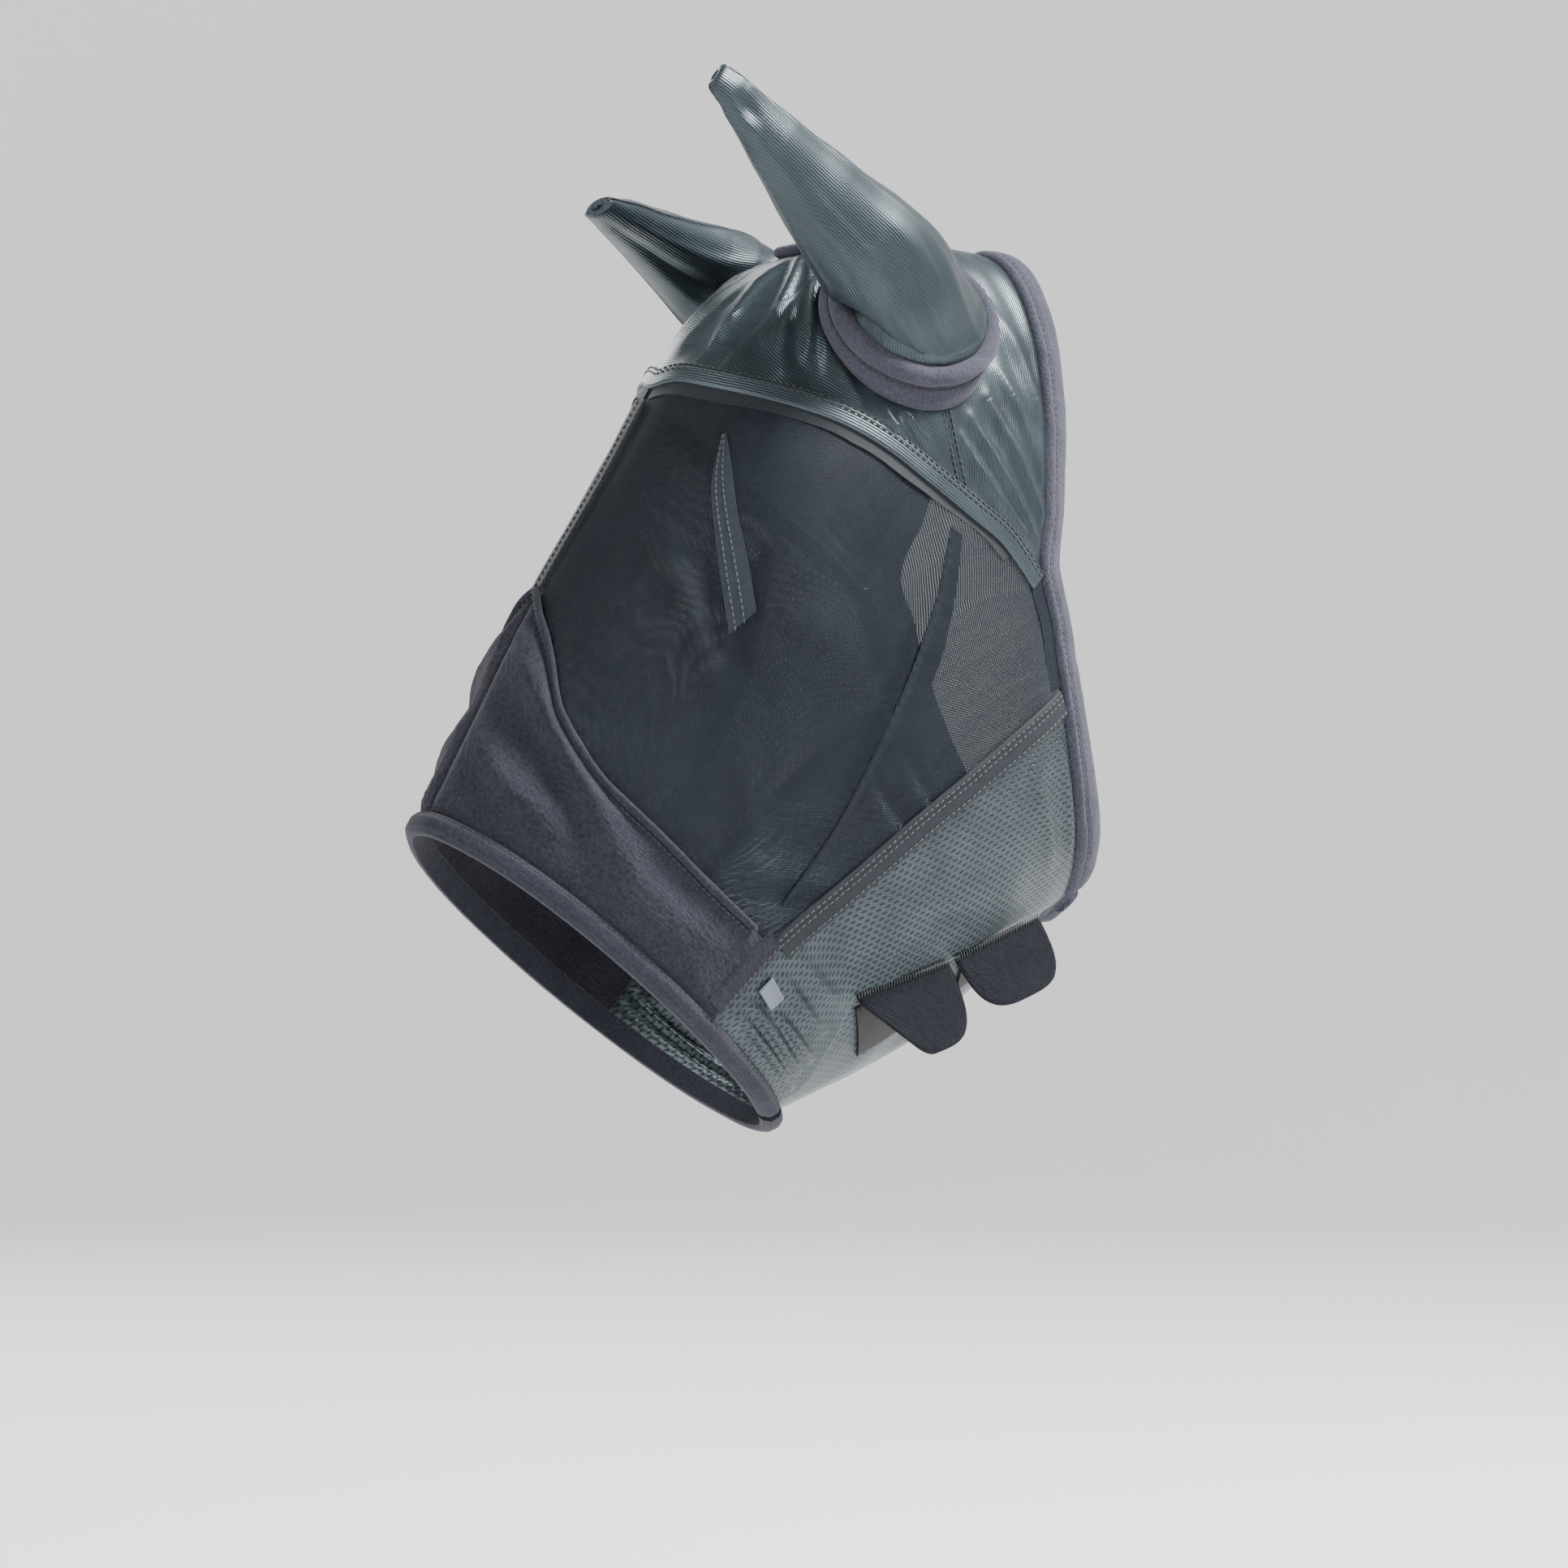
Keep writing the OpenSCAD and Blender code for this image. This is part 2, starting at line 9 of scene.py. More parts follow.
# %% Load the frame
import json
import math
import bpy
import bmesh
import numpy as np
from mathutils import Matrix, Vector


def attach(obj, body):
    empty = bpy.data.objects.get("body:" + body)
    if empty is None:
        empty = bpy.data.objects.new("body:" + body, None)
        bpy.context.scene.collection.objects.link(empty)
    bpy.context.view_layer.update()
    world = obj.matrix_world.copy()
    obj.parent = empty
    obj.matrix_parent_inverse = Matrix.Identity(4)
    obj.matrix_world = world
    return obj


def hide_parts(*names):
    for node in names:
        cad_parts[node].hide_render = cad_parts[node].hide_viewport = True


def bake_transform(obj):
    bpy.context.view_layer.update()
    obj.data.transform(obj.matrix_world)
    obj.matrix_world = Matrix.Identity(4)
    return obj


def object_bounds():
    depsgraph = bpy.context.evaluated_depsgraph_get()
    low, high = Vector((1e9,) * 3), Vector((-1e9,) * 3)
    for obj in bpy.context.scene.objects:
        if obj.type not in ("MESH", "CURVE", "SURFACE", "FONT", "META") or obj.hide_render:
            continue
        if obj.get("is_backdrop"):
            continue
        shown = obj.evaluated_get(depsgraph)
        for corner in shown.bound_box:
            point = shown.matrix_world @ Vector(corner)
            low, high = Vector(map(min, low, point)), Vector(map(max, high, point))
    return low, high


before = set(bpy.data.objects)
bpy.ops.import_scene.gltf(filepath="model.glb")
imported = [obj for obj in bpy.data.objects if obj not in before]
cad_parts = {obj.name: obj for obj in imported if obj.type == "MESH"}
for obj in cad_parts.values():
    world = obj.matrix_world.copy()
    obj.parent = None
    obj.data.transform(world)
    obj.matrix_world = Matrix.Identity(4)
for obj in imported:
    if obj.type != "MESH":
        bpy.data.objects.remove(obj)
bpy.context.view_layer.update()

# %% [markdown]
# ## The head form
# All the cloth lies on one form. A place on it is (u, v): u goes from 0 at the neck edge to 1
# at the nose edge, and v goes round the head from 0 on top to 1 under the jaw, negative on the
# right. The form could be a sculpted mesh that pieces are shrink-wrapped to. A formula is
# better here, because a tape or a stitch line can then be drawn by its (u, v) places alone.

# %% Head form
MM = 0.001
# top centre y and z, jaw centre y and z, then half widths at 0, 45, 90, 135 and 180 degrees
STATIONS = MM * np.array([
    [18, -2, 44, -342, 40, 54, 60, 70, 54],
    [-44, 4, 8, -375, 56, 80, 88, 80, 48],
    [-112, -4, -18, -399, 64, 94, 95, 80, 44],
    [-176, -53, -44, -415, 60, 98, 94, 74, 40],
    [-224, -127, -70, -428, 50, 86, 84, 66, 36],
    [-268, -197, -96, -439, 42, 70, 72, 58, 33],
    [-320, -292, -122, -449, 38, 58, 60, 50, 30]])
SPANS = len(STATIONS) - 1
SQUARENESS = 0.72
STEP = 0.004


def mix(a, b, t):
    return a + (b - a) * t


def smooth(t):
    t = np.clip(t, 0, 1)
    return t * t * (3 - 2 * t)


def spline(a, b, c, d, t):
    return 0.5 * (2 * b + (c - a) * t + (2 * a - 5 * b + 4 * c - d) * t**2 + (3 * b - a - 3 * c + d) * t**3)


def with_ends(rows):
    return np.concatenate([[2 * rows[0] - rows[1]], rows, [2 * rows[-1] - rows[-2]]])


def station(u):
    rows = with_ends(STATIONS)
    far = np.asarray(u) * SPANS
    i = np.clip(np.floor(far), 0, SPANS - 1).astype(int)
    return spline(rows[i], rows[i + 1], rows[i + 2], rows[i + 3], (far - i)[..., None])


def half_width(rows, v):
    turn = np.abs(v) * 4
    turn = np.where(turn > 4, 8 - turn, turn)
    widths = np.concatenate([rows[..., 5:6], rows[..., 4:9], rows[..., 7:8]], axis=-1)
    i = np.clip(np.floor(turn), 0, 3).astype(int)
    a, b, c, d = (np.take_along_axis(widths, (i + k)[..., None], -1)[..., 0] for k in range(4))
    return spline(a, b, c, d, turn - i)


def on_head(u, v):
    u, v = np.broadcast_arrays(np.asarray(u, float), np.asarray(v, float))
    rows = station(u)
    s = np.sin(np.pi * v)
    down = (1 - np.cos(np.pi * v)) / 2
    x = np.sign(s) * np.abs(s) ** SQUARENESS * half_width(rows, v)
    return np.stack([x, mix(rows[..., 0], rows[..., 2], down), mix(rows[..., 1], rows[..., 3], down)], -1)


def along_u(u, v):
    return (on_head(u + STEP, v) - on_head(u - STEP, v)) / (2 * STEP)


def along_v(u, v):
    return (on_head(u, v + STEP) - on_head(u, v - STEP)) / (2 * STEP)


def length(p):
    return np.linalg.norm(p, axis=-1)


def unit(p):
    return p / np.maximum(length(p), 1e-12)[..., None]


def outward(u, v):
    u, v = np.asarray(u, float), np.asarray(v, float)
    return unit(np.cross(along_u(u, v), along_v(u, v)))


def place(u, v, out=0.0):
    return on_head(u, v) + np.asarray(out)[..., None] * outward(u, v)


print("width of the head at the eyes, mm:", round(2000 * float(on_head(0.45, 0.5)[0])))

# %% [markdown]
# ## Edge lines
# The cutting lines of the pattern, as the frame's parts have them: the neck edge, the brow
# seam, the nose seam, the jaw seam and the closing edges under the jaw. They are tables of a
# few places with a smooth line through them, which is how a paper pattern is drawn too.

# %% Pattern lines
# edges round the head, as [v, u]
NECK_EDGE = [[0, 0], [0.11, -0.015], [0.23, -0.012], [0.34, 0.012], [0.43, 0.06], [0.475, 0.095],
             [0.52, 0.08], [0.57, 0.066], [0.69, 0.02], [0.82, -0.03], [0.9, -0.035], [1.1, -0.02]]
BROW_LINE = [[0, 0.545], [0.11, 0.522], [0.165, 0.499], [0.23, 0.457], [0.3, 0.397], [0.355, 0.342],
             [0.397, 0.285], [0.434, 0.217], [0.488, 0.153], [0.51, 0.13]]
NOSE_LINE = [[0, 0.8], [0.055, 0.822], [0.12, 0.845], [0.19, 0.882], [0.29, 0.902],
             [0.41, 0.896], [0.495, 0.885], [0.59, 0.861], [0.62, 0.848]]
# edges of the jaw panels, as [share of the way from neck to nose, v]
CLOSING_EDGE = [[0, 0.865], [0.2, 0.8], [0.39, 0.778], [0.55, 0.757], [0.7, 0.727],
                [0.78, 0.765], [0.92, 0.835], [1, 0.845]]
WRAPPED_EDGE = [[0, 1.09], [0.15, 1.17], [0.3, 1.23], [0.6, 1.27], [0.75, 1.25], [0.9, 1.17], [1, 1.13]]
# lines along the head, as [u, v]
JAW_LINE = [[0, 0.58], [0.13, 0.597], [0.34, 0.617], [0.52, 0.62], [0.68, 0.613], [0.85, 0.608], [1, 0.605]]
DART_FOLD = [[0.555, 0.178], [0.597, 0.2], [0.622, 0.227], [0.653, 0.27], [0.684, 0.32]]
DART_BACK = [[0.551, 0.182], [0.574, 0.216], [0.596, 0.248], [0.618, 0.292], [0.64, 0.33]]
PLEAT_FOLD = [[0.32, 0.415], [0.375, 0.457], [0.435, 0.488], [0.505, 0.513], [0.6, 0.536],
              [0.7, 0.553], [0.808, 0.567]]
PLEAT_BACK = [[0.302, 0.425], [0.345, 0.472], [0.4, 0.51], [0.475, 0.535], [0.58, 0.55],
              [0.69, 0.562], [0.808, 0.573]]
JAW_V, JUNCTION_V, BEND_V, CORNER_V, NECK_END_V = 0.61, 0.481, 0.45, 0.845, 0.875
KNIT_T, FLEECE_T, BAND_T, BINDING_T = 1.0 * MM, 2.4 * MM, 1.4 * MM, 5 * MM
OVER_T = KNIT_T + 0.6 * MM
NECK_W, NOSE_W = 18 * MM, 13 * MM
SEAM = 0.15 * MM
SIDES = ((1, "left"), (-1, "right"))


def value_at(table, x):
    xs, ys = np.array(table, float).T
    ys = with_ends(ys)
    i = np.clip(np.searchsorted(xs, x, side="right") - 1, 0, len(xs) - 2)
    t = (x - xs[i]) / (xs[i + 1] - xs[i])
    return spline(ys[i], ys[i + 1], ys[i + 2], ys[i + 3], t)


def towards_nose(u, v, distance):
    return u + distance / length(along_u(np.asarray(u, float), v))


def neck_u(v):
    return value_at(NECK_EDGE, np.minimum(1.1, np.abs(v)))


def brow_u(v):
    return value_at(BROW_LINE, np.abs(v))


def nose_u(v):
    return value_at(NOSE_LINE, np.abs(v))


def jaw_at(u):
    return value_at(JAW_LINE, u)


def neck_inside(v):
    return towards_nose(neck_u(v), v, NECK_W)


def nose_inside(v):
    return towards_nose(np.ones_like(np.asarray(v, float)), v, -SEAM)


def seam_at(line, side):
    """The edge line, moved off the seam by the seam's half gap, to one side."""
    return lambda v: towards_nose(line(v), v, side * SEAM / 2)


def cut(vs, start, end, columns):
    """(u, v) grids of a piece between two edge lines, bent to follow the jaw seam."""
    v, t = np.meshgrid(vs, np.linspace(0, 1, columns), indexing="ij")
    share = smooth((np.abs(v) - BEND_V) / (JAW_V - BEND_V))
    w = v + np.sign(v) * (jaw_at(mix(start(v), end(v), t)) - JAW_V) * share
    return mix(start(w), end(w), t), w


def sideways(u, v, distance):
    """A line of (u, v) places moved sideways over the form."""
    du, dv = along_u(u, v), along_v(u, v)
    way = du * np.gradient(u)[:, None] + dv * np.gradient(v)[:, None]
    side = unit(np.cross(np.cross(du, dv), way)) * distance
    uu, uv, vv = (du * du).sum(-1), (du * dv).sum(-1), (dv * dv).sum(-1)
    su, sv = (side * du).sum(-1), (side * dv).sum(-1)
    det = uu * vv - uv * uv
    return u + (su * vv - sv * uv) / det, v + (sv * uu - su * uv) / det


print("brow seam runs from u", round(float(brow_u(0)), 3), "to", round(float(brow_u(JUNCTION_V)), 3))

# %% [markdown]
# ## Finishes: a small paint box
# Each fabric is a Principled shader with its weave worked out from the cloth's own
# measurements. The texture map of every piece is in metres of cloth, so a one millimetre rib
# is one millimetre wide on every piece. An image of the fabric would be quicker, but it would
# carry someone else's photograph and would blur close up.

# %% Paint box
class Finish:
    def __init__(self, name, roughness, sheen=0.0, sheen_roughness=0.5, specular=0.5, metallic=0.0):
        self.material = bpy.data.materials.new(name)
        self.material.use_nodes = True
        self.tree = self.material.node_tree
        self.shader = self.tree.nodes["Principled BSDF"]
        for socket, value in (("Roughness", roughness), ("Sheen Weight", sheen),
                              ("Sheen Roughness", sheen_roughness), ("Specular IOR Level", specular),
                              ("Metallic", metallic)):
            self.shader.inputs[socket].default_value = value
        place_map = self.node("UVMap")
        place_map.uv_map = "cloth"
        self.map = place_map.outputs[0]
        split = self.node("SeparateXYZ")
        self.plug(self.map, split.inputs[0])
        self.x, self.y = split.outputs[0], split.outputs[1]
        self.space = self.node("TexCoord").outputs["Object"]

    def node(self, kind):
        return self.tree.nodes.new("ShaderNode" + kind)

    def plug(self, value, socket):
        if hasattr(value, "is_linked"):
            self.tree.links.new(value, socket)
        else:
            socket.default_value = value

    def math(self, operation, *values, clamp=False):
        node = self.node("Math")
        node.operation, node.use_clamp = operation, clamp
        for value, socket in zip(values, node.inputs):
            self.plug(value, socket)
        return node.outputs[0]

    def add(self, a, b, clamp=False):
        return self.math("ADD", a, b, clamp=clamp)

    def times(self, a, factor, plus=0.0, clamp=False):
        return self.math("MULTIPLY_ADD", a, factor, plus, clamp=clamp)

    def wave(self, along, pitch):
        return self.times(self.math("SINE", self.times(along, 2 * math.pi / pitch)), 0.5, 0.5)

    def cloud(self, size, detail=3.0, stretch=(1, 1, 1), where=None):
        scale = self.node("VectorMath")
        scale.operation = "MULTIPLY"
        self.plug(self.space if where is None else where, scale.inputs[0])
        scale.inputs[1].default_value = stretch
        noise = self.node("TexNoise")
        noise.inputs["Scale"].default_value = 1 / size
        noise.inputs["Detail"].default_value = detail
        self.plug(scale.outputs[0], noise.inputs["Vector"])
        return noise.outputs[0]

    def between(self, value, low, high, to_low=0.0, to_high=1.0):
        node = self.node("MapRange")
        node.interpolation_type = "SMOOTHSTEP"
        self.plug(value, node.inputs["Value"])
        for socket, number in (("From Min", low), ("From Max", high),
                               ("To Min", to_low), ("To Max", to_high)):
            node.inputs[socket].default_value = number
        return node.outputs[0]

    def colours(self, share, first, second):
        node = self.node("Mix")
        node.data_type = "RGBA"
        self.plug(share, node.inputs[0])
        for value, socket in ((first, node.inputs[6]), (second, node.inputs[7])):
            self.plug(value if hasattr(value, "is_linked") else (*value, 1), socket)
        return node.outputs[2]

    def paint(self, share, first, second):
        self.plug(self.colours(share, first, second), self.shader.inputs["Base Color"])

    def relief(self, height, distance, strength=1.0):
        node = self.node("Bump")
        node.inputs["Distance"].default_value = distance
        node.inputs["Strength"].default_value = strength
        self.plug(height, node.inputs["Height"])
        self.plug(node.outputs[0], self.shader.inputs["Normal"])
        return self


# %% [markdown]
# ### Satin knit
# The crown and ears are a shiny stretch knit: very fine ribs run the length of the cloth and
# the light slides along every fold. Fine ribs as real geometry would be millions of faces, so
# they are a bump only, and the shine is a fairly smooth, half metallic shader over a dark
# blue-grey yarn. Slow patches of lighter yarn keep large areas from looking like plastic.

# %% Satin knit
def satin(name, dark, light, roughness):
    f = Finish(name, roughness, sheen=0.03, sheen_roughness=0.35, specular=0.6, metallic=0.55)
    ribs = f.wave(f.x, 1.5 * MM)
    slant = f.wave(f.add(f.times(f.x, 0.9), f.times(f.y, 0.42)), 2.3 * MM)
    loops = f.wave(f.y, 1.0 * MM)
    yarn = f.cloud(0.5 * MM, 2.0, stretch=(1, 0.25, 1), where=f.map)
    patch = f.cloud(22 * MM)
    streak = f.cloud(5 * MM, stretch=(1, 0.12, 1), where=f.map)
    # The streak term lightens the colour in long streaks along the cloth: a painted sheen standing in for the
    # satin's highlights.
    share = f.times(ribs, 0.45, f.times(streak, 0.4))
    share = f.add(share, f.times(patch, 0.4, -0.15), clamp=True)
    share = f.add(share, f.times(slant, 0.12), clamp=True)
    f.paint(share, dark, light)
    f.plug(f.times(yarn, 0.18, roughness - 0.09), f.shader.inputs["Roughness"])
    return f.relief(f.add(ribs, f.times(loops, 0.12, f.times(yarn, 0.4))), 0.16 * MM, 0.7)


satin_knit = satin("satin_knit", (0.0025, 0.005, 0.0065), (0.056, 0.08, 0.093), 0.34)
band_knit = satin("brow_band_knit", (0.006, 0.01, 0.013), (0.078, 0.104, 0.12), 0.36)

# %% [markdown]
# ### Dimpled knit
# The panel under the jaw is the same shiny yarn with rows of small sunk dashes, each row half
# a step off the last. A brick pattern would do, but its joints run right across; two repeated
# steps, one along and one across the cloth, give separate dashes.

# %% Dimpled knit
def dimpled():
    f = Finish("dimple_knit", 0.36, sheen=0.03, sheen_roughness=0.35, specular=0.5, metallic=0.5)
    pitch_x, pitch_y = 2.8 * MM, 5.0 * MM
    rows = f.math("DIVIDE", f.x, pitch_x)
    half = f.times(f.math("FLOORED_MODULO", f.math("FLOOR", rows), 2.0), 0.5)
    along = f.math("FRACT", f.add(f.math("DIVIDE", f.y, pitch_y), half))
    off_x, off_y = (f.math("ABSOLUTE", f.math("SUBTRACT", a, 0.5)) for a in (f.math("FRACT", rows), along))
    dash = f.math("MULTIPLY", f.between(off_x, 0.14, 0.3, 1, 0), f.between(off_y, 0.2, 0.36, 1, 0))
    ribs = f.wave(f.add(f.x, f.times(f.y, 0.5)), 1.0 * MM)
    yarn = f.cloud(0.6 * MM, 2.0, stretch=(1, 0.4, 1), where=f.map)
    share = f.times(ribs, 0.3, f.times(f.cloud(20 * MM), 0.6, 0.05), clamp=True)
    lit = f.colours(share, (0.006, 0.0105, 0.013), (0.072, 0.098, 0.112))
    # The dashes are painted near-black over the yarn colour: painted shade in the sunk dimples.
    f.paint(f.times(dash, 0.8), lit, (0.003, 0.005, 0.0065))
    return f.relief(f.math("SUBTRACT", f.times(ribs, 0.3, f.times(yarn, 0.3)), dash), 0.3 * MM, 0.8)


dimple_knit = dimpled()
print("knits:", satin_knit.material.name, band_knit.material.name, dimple_knit.material.name)

# %% [markdown]
# ### Eye mesh
# The windows are a fine net that the horse sees through. A net of real threads would need
# many millions of faces, so the holes are made in the shader: where two sets of slanting
# threads cross the cloth is opaque, and in the holes the shader's alpha drops. The threads
# are dark blue with a faint teal glint.

# %% Eye mesh
def netting(name, thread, glint, least, most):
    f = Finish(name, 0.6, sheen=0.05, sheen_roughness=0.4, specular=0.15)
    pitch = 1.6 * MM
    weave = f.math("MAXIMUM", f.wave(f.add(f.x, f.y), pitch), f.wave(f.math("SUBTRACT", f.x, f.y), pitch))
    streak = f.cloud(5 * MM, stretch=(0.15, 1, 1), where=f.map)
    share = f.times(weave, 0.6, f.times(f.cloud(45 * MM, 2.0), 0.6, -0.35), clamp=True)
    f.paint(f.times(streak, 0.4, share, clamp=True), thread, glint)
    thick = f.times(streak, 0.3, f.math("SUBTRACT", weave, 0.15))
    f.plug(f.between(thick, 0.35, 0.85, least, most), f.shader.inputs["Alpha"])
    return f.relief(weave, 0.12 * MM, 0.6)


eye_mesh = netting("eye_mesh", (0.0025, 0.0035, 0.0055), (0.014, 0.02, 0.028), 0.38, 0.97)
double_mesh = netting("double_mesh", (0.0025, 0.0035, 0.006), (0.012, 0.018, 0.026), 0.75, 1.0)

# %% [markdown]
# ### Tape, fleece, loop pile, hooks, thread and label
# The tapes are a fine twill. Fleece is a brushed cloth: soft curls a millimetre or two across,
# dull, with a pale rim of fibres that sheen gives well. The closing tabs are a shorter, darker
# pile with specks, the hook pads are tiny rows of dots, and the thread is a twisted cord.

# %% Tape, fleece and small trims
def woven_tape(name, dark, light):
    f = Finish(name, 0.62, sheen=0.08, sheen_roughness=0.4, specular=0.3)
    twill = f.wave(f.add(f.x, f.y), 0.9 * MM)
    cross = f.wave(f.x, 0.6 * MM)
    f.paint(f.times(twill, 0.45, f.times(f.cloud(4 * MM, 4.0), 0.6, -0.15), clamp=True), dark, light)
    return f.relief(f.add(twill, f.times(cross, 0.4)), 0.12 * MM, 0.7)


def fleece_cloth(name, dark, light, curl, depth=0.55 * MM, sheen=0.12):
    f = Finish(name, 0.95, sheen=sheen, sheen_roughness=0.45, specular=0.15)
    curls = f.cloud(curl, 5.0)
    fibre = f.cloud(0.45 * MM)
    share = f.times(curls, 1.1, f.times(f.cloud(14 * MM), 0.35, -0.28), clamp=True)
    f.paint(f.add(share, f.times(fibre, 0.5, -0.25), clamp=True), dark, light)
    return f.relief(f.add(curls, f.times(fibre, 0.5)), depth, 0.9)


def hook_rows():
    f = Finish("hook_pad", 0.6, specular=0.4)
    dots = f.math("MULTIPLY", f.wave(f.x, 1.6 * MM), f.wave(f.y, 1.6 * MM))
    f.paint(f.between(dots, 0.3, 0.8), (0.003, 0.0026, 0.0024), (0.012, 0.0105, 0.009))
    return f.relief(dots, 0.5 * MM)


def twisted_thread(name, dark, light):
    f = Finish(name, 0.55, sheen=0.2, specular=0.5)
    twist = f.wave(f.add(f.x, f.y), 0.5 * MM)
    f.paint(twist, dark, light)
    return f.relief(twist, 0.1 * MM)


def woven_label():
    f = Finish("side_label", 0.5, sheen=0.3, specular=0.5)
    weft, warp = f.wave(f.y, 0.45 * MM), f.wave(f.x, 0.6 * MM)
    f.paint(f.math("MULTIPLY", weft, warp), (0.085, 0.1, 0.13), (0.2, 0.225, 0.275))
    return f.relief(f.add(weft, warp), 0.1 * MM, 0.6)


seam_tape = woven_tape("seam_tape", (0.004, 0.006, 0.009), (0.02, 0.026, 0.036))
dart_tape = woven_tape("dart_tape", (0.007, 0.01, 0.015), (0.032, 0.042, 0.06))
nose_fleece = fleece_cloth("nose_fleece", (0.008, 0.0082, 0.013), (0.044, 0.0445, 0.062), 1.7 * MM)
binding_fleece = fleece_cloth("binding_fleece", (0.021, 0.022, 0.032), (0.098, 0.1, 0.132), 1.3 * MM)
collar_fleece = fleece_cloth("collar_fleece", (0.022, 0.022, 0.032), (0.09, 0.089, 0.12), 1.3 * MM)
lower_fleece = fleece_cloth("nose_binding_fleece", (0.009, 0.0095, 0.015), (0.046, 0.047, 0.065), 1.4 * MM)
loop_pile = fleece_cloth("loop_pile", (0.002, 0.002, 0.0035), (0.019, 0.02, 0.028), 0.9 * MM, 0.35 * MM, 0.06)
hook_pad = hook_rows()
dark_thread = twisted_thread("dark_thread", (0.004, 0.005, 0.007), (0.02, 0.024, 0.03))
grey_thread = twisted_thread("grey_thread", (0.02, 0.024, 0.03), (0.085, 0.095, 0.11))
label_cloth = woven_label()
print("finishes made:", len(bpy.data.materials))

# %% [markdown]
# ## Making cloth
# A piece of cloth here is two grids of points, its outside and its inside, closed round the
# edge. A single sheet with a Solidify modifier would look the same, but with both skins in
# hand the pile, the rolled edges and the folds can differ between outside and inside.

# %% Cloth meshes
def mend(mesh, *work_on):
    """Runs mesh operations, each given as a function of the mesh, and turns all faces outward."""
    work = bmesh.new()
    work.from_mesh(mesh)
    for step in work_on:
        step(work)
    bmesh.ops.recalc_face_normals(work, faces=work.faces)
    work.to_mesh(mesh)
    work.free()


def new_piece(name, points, faces, places, finish):
    mesh = bpy.data.meshes.new(name)
    mesh.from_pydata(points.tolist(), [], [list(map(int, face)) for face in faces])
    mend(mesh)
    corner = np.zeros(len(mesh.loops), int)
    mesh.loops.foreach_get("vertex_index", corner)
    layer = mesh.uv_layers.new(name="cloth")
    layer.data.foreach_set("uv", np.asarray(places, np.float32)[corner].ravel())
    mesh.materials.append(finish.material)
    mesh.polygons.foreach_set("use_smooth", [True] * len(mesh.polygons))
    mesh.set_sharp_from_angle(angle=math.radians(62))
    piece = bpy.data.objects.new(name, mesh)
    bpy.context.collection.objects.link(piece)
    return piece


def grid_faces(rows, columns, start=0, wrap=False):
    i, j = np.meshgrid(np.arange(rows if wrap else rows - 1), np.arange(columns - 1), indexing="ij")
    k = (i + 1) % rows
    quads = np.stack([i * columns + j, i * columns + j + 1, k * columns + j + 1, k * columns + j], -1)
    return quads.reshape(-1, 4) + start


def cloth_places(points, anchor=None):
    """Metres of cloth across each row from the anchor column, and along that column."""
    rows, columns = points.shape[:2]
    anchor = columns // 2 if anchor is None else anchor
    across = np.zeros((rows, columns))
    across[:, 1:] = np.cumsum(length(np.diff(points, axis=1)), axis=1)
    across -= across[:, anchor][:, None]
    along = np.concatenate([[0], np.cumsum(length(np.diff(points[:, anchor], axis=0)))])
    return np.stack([across, np.repeat((along - along[rows // 2])[:, None], columns, 1)], -1)


def closed_cloth(name, outer, inner, finish, wrap=False, anchor=None):
    rows, columns = outer.shape[:2]
    count = rows * columns
    at = np.arange(count).reshape(rows, columns)
    ring = np.concatenate([at, at[:1]]) if wrap else at
    edges = [ring[:, 0], ring[:, -1]] + ([] if wrap else [at[0], at[-1]])
    faces = [grid_faces(rows, columns, 0, wrap), grid_faces(rows, columns, count, wrap)]
    faces += [np.stack([edge[:-1], edge[1:], edge[1:] + count, edge[:-1] + count], -1) for edge in edges]
    points = np.concatenate([outer.reshape(-1, 3), inner.reshape(-1, 3)])
    places = cloth_places(outer, anchor).reshape(-1, 2)
    return new_piece(name, points, np.concatenate(faces), np.concatenate([places, places]), finish)


# %% [markdown]
# ## What the frame needs to know
# Pieces that stay with the mask are tied to its body, and the frame's parts that a piece stands
# for are hidden. Every sheet's cut size and area are kept in a table; the flat size is measured on
# the cloth itself, which keeps it right when a pattern line is moved.

# %% Telling the frame
LEAST_CUT = 10.2 * MM
flat_sizes = {}


def declare_sheet(piece, points, flat=None):
    wide = length(np.diff(points, axis=1)).sum(axis=1).max()
    tall = length(np.diff(points, axis=0)).sum(axis=0).max()
    a, b = points[1:, 1:] - points[:-1, :-1], points[1:, :-1] - points[:-1, 1:]
    wide, tall = max(float(wide), LEAST_CUT), max(float(tall), LEAST_CUT)
    area = float(np.clip(length(np.cross(a, b)).sum() / 2, 0.31 * wide * tall, wide * tall))
    flat = flat or (wide, tall)
    flat_sizes[piece.name] = [round(1000 * flat[0]), round(1000 * flat[1]), round(1e4 * area)]


def dress(piece, slot, *nodes):
    """For a piece that stays with the mask."""
    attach(piece, "mask")
    if nodes:
        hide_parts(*nodes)


# %% [markdown]
# ### Cloth that crosses the jaw seam
# The jaw panel swings open along the jaw seam, and its bindings swing with it. A panel that
# simply rode on the flap would tear off the mask at the seam; here these pieces are left as laid,
# tied to no body, and hide the frame's parts they stand for.

# %% Pieces across the jaw seam
SEAM_MIDDLE = place(0.45, float(jaw_at(0.45)))


def hang_from_jaw(piece, slot, *nodes):
    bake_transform(piece)
    if nodes:
        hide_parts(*nodes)


# %% [markdown]
# ## Folds
# Cloth that is pulled over a head shows where it is pulled from. Each fold is a soft ridge
# along a line of places, with a width and a height, that dies out at its ends. A simulation
# would place them by chance; here they have to lie where the real mask has them, so they are
# drawn. Every panel's folds also fade at its seams, which hold the cloth down.

# %% Folds
RIDGE_POINTS = 36


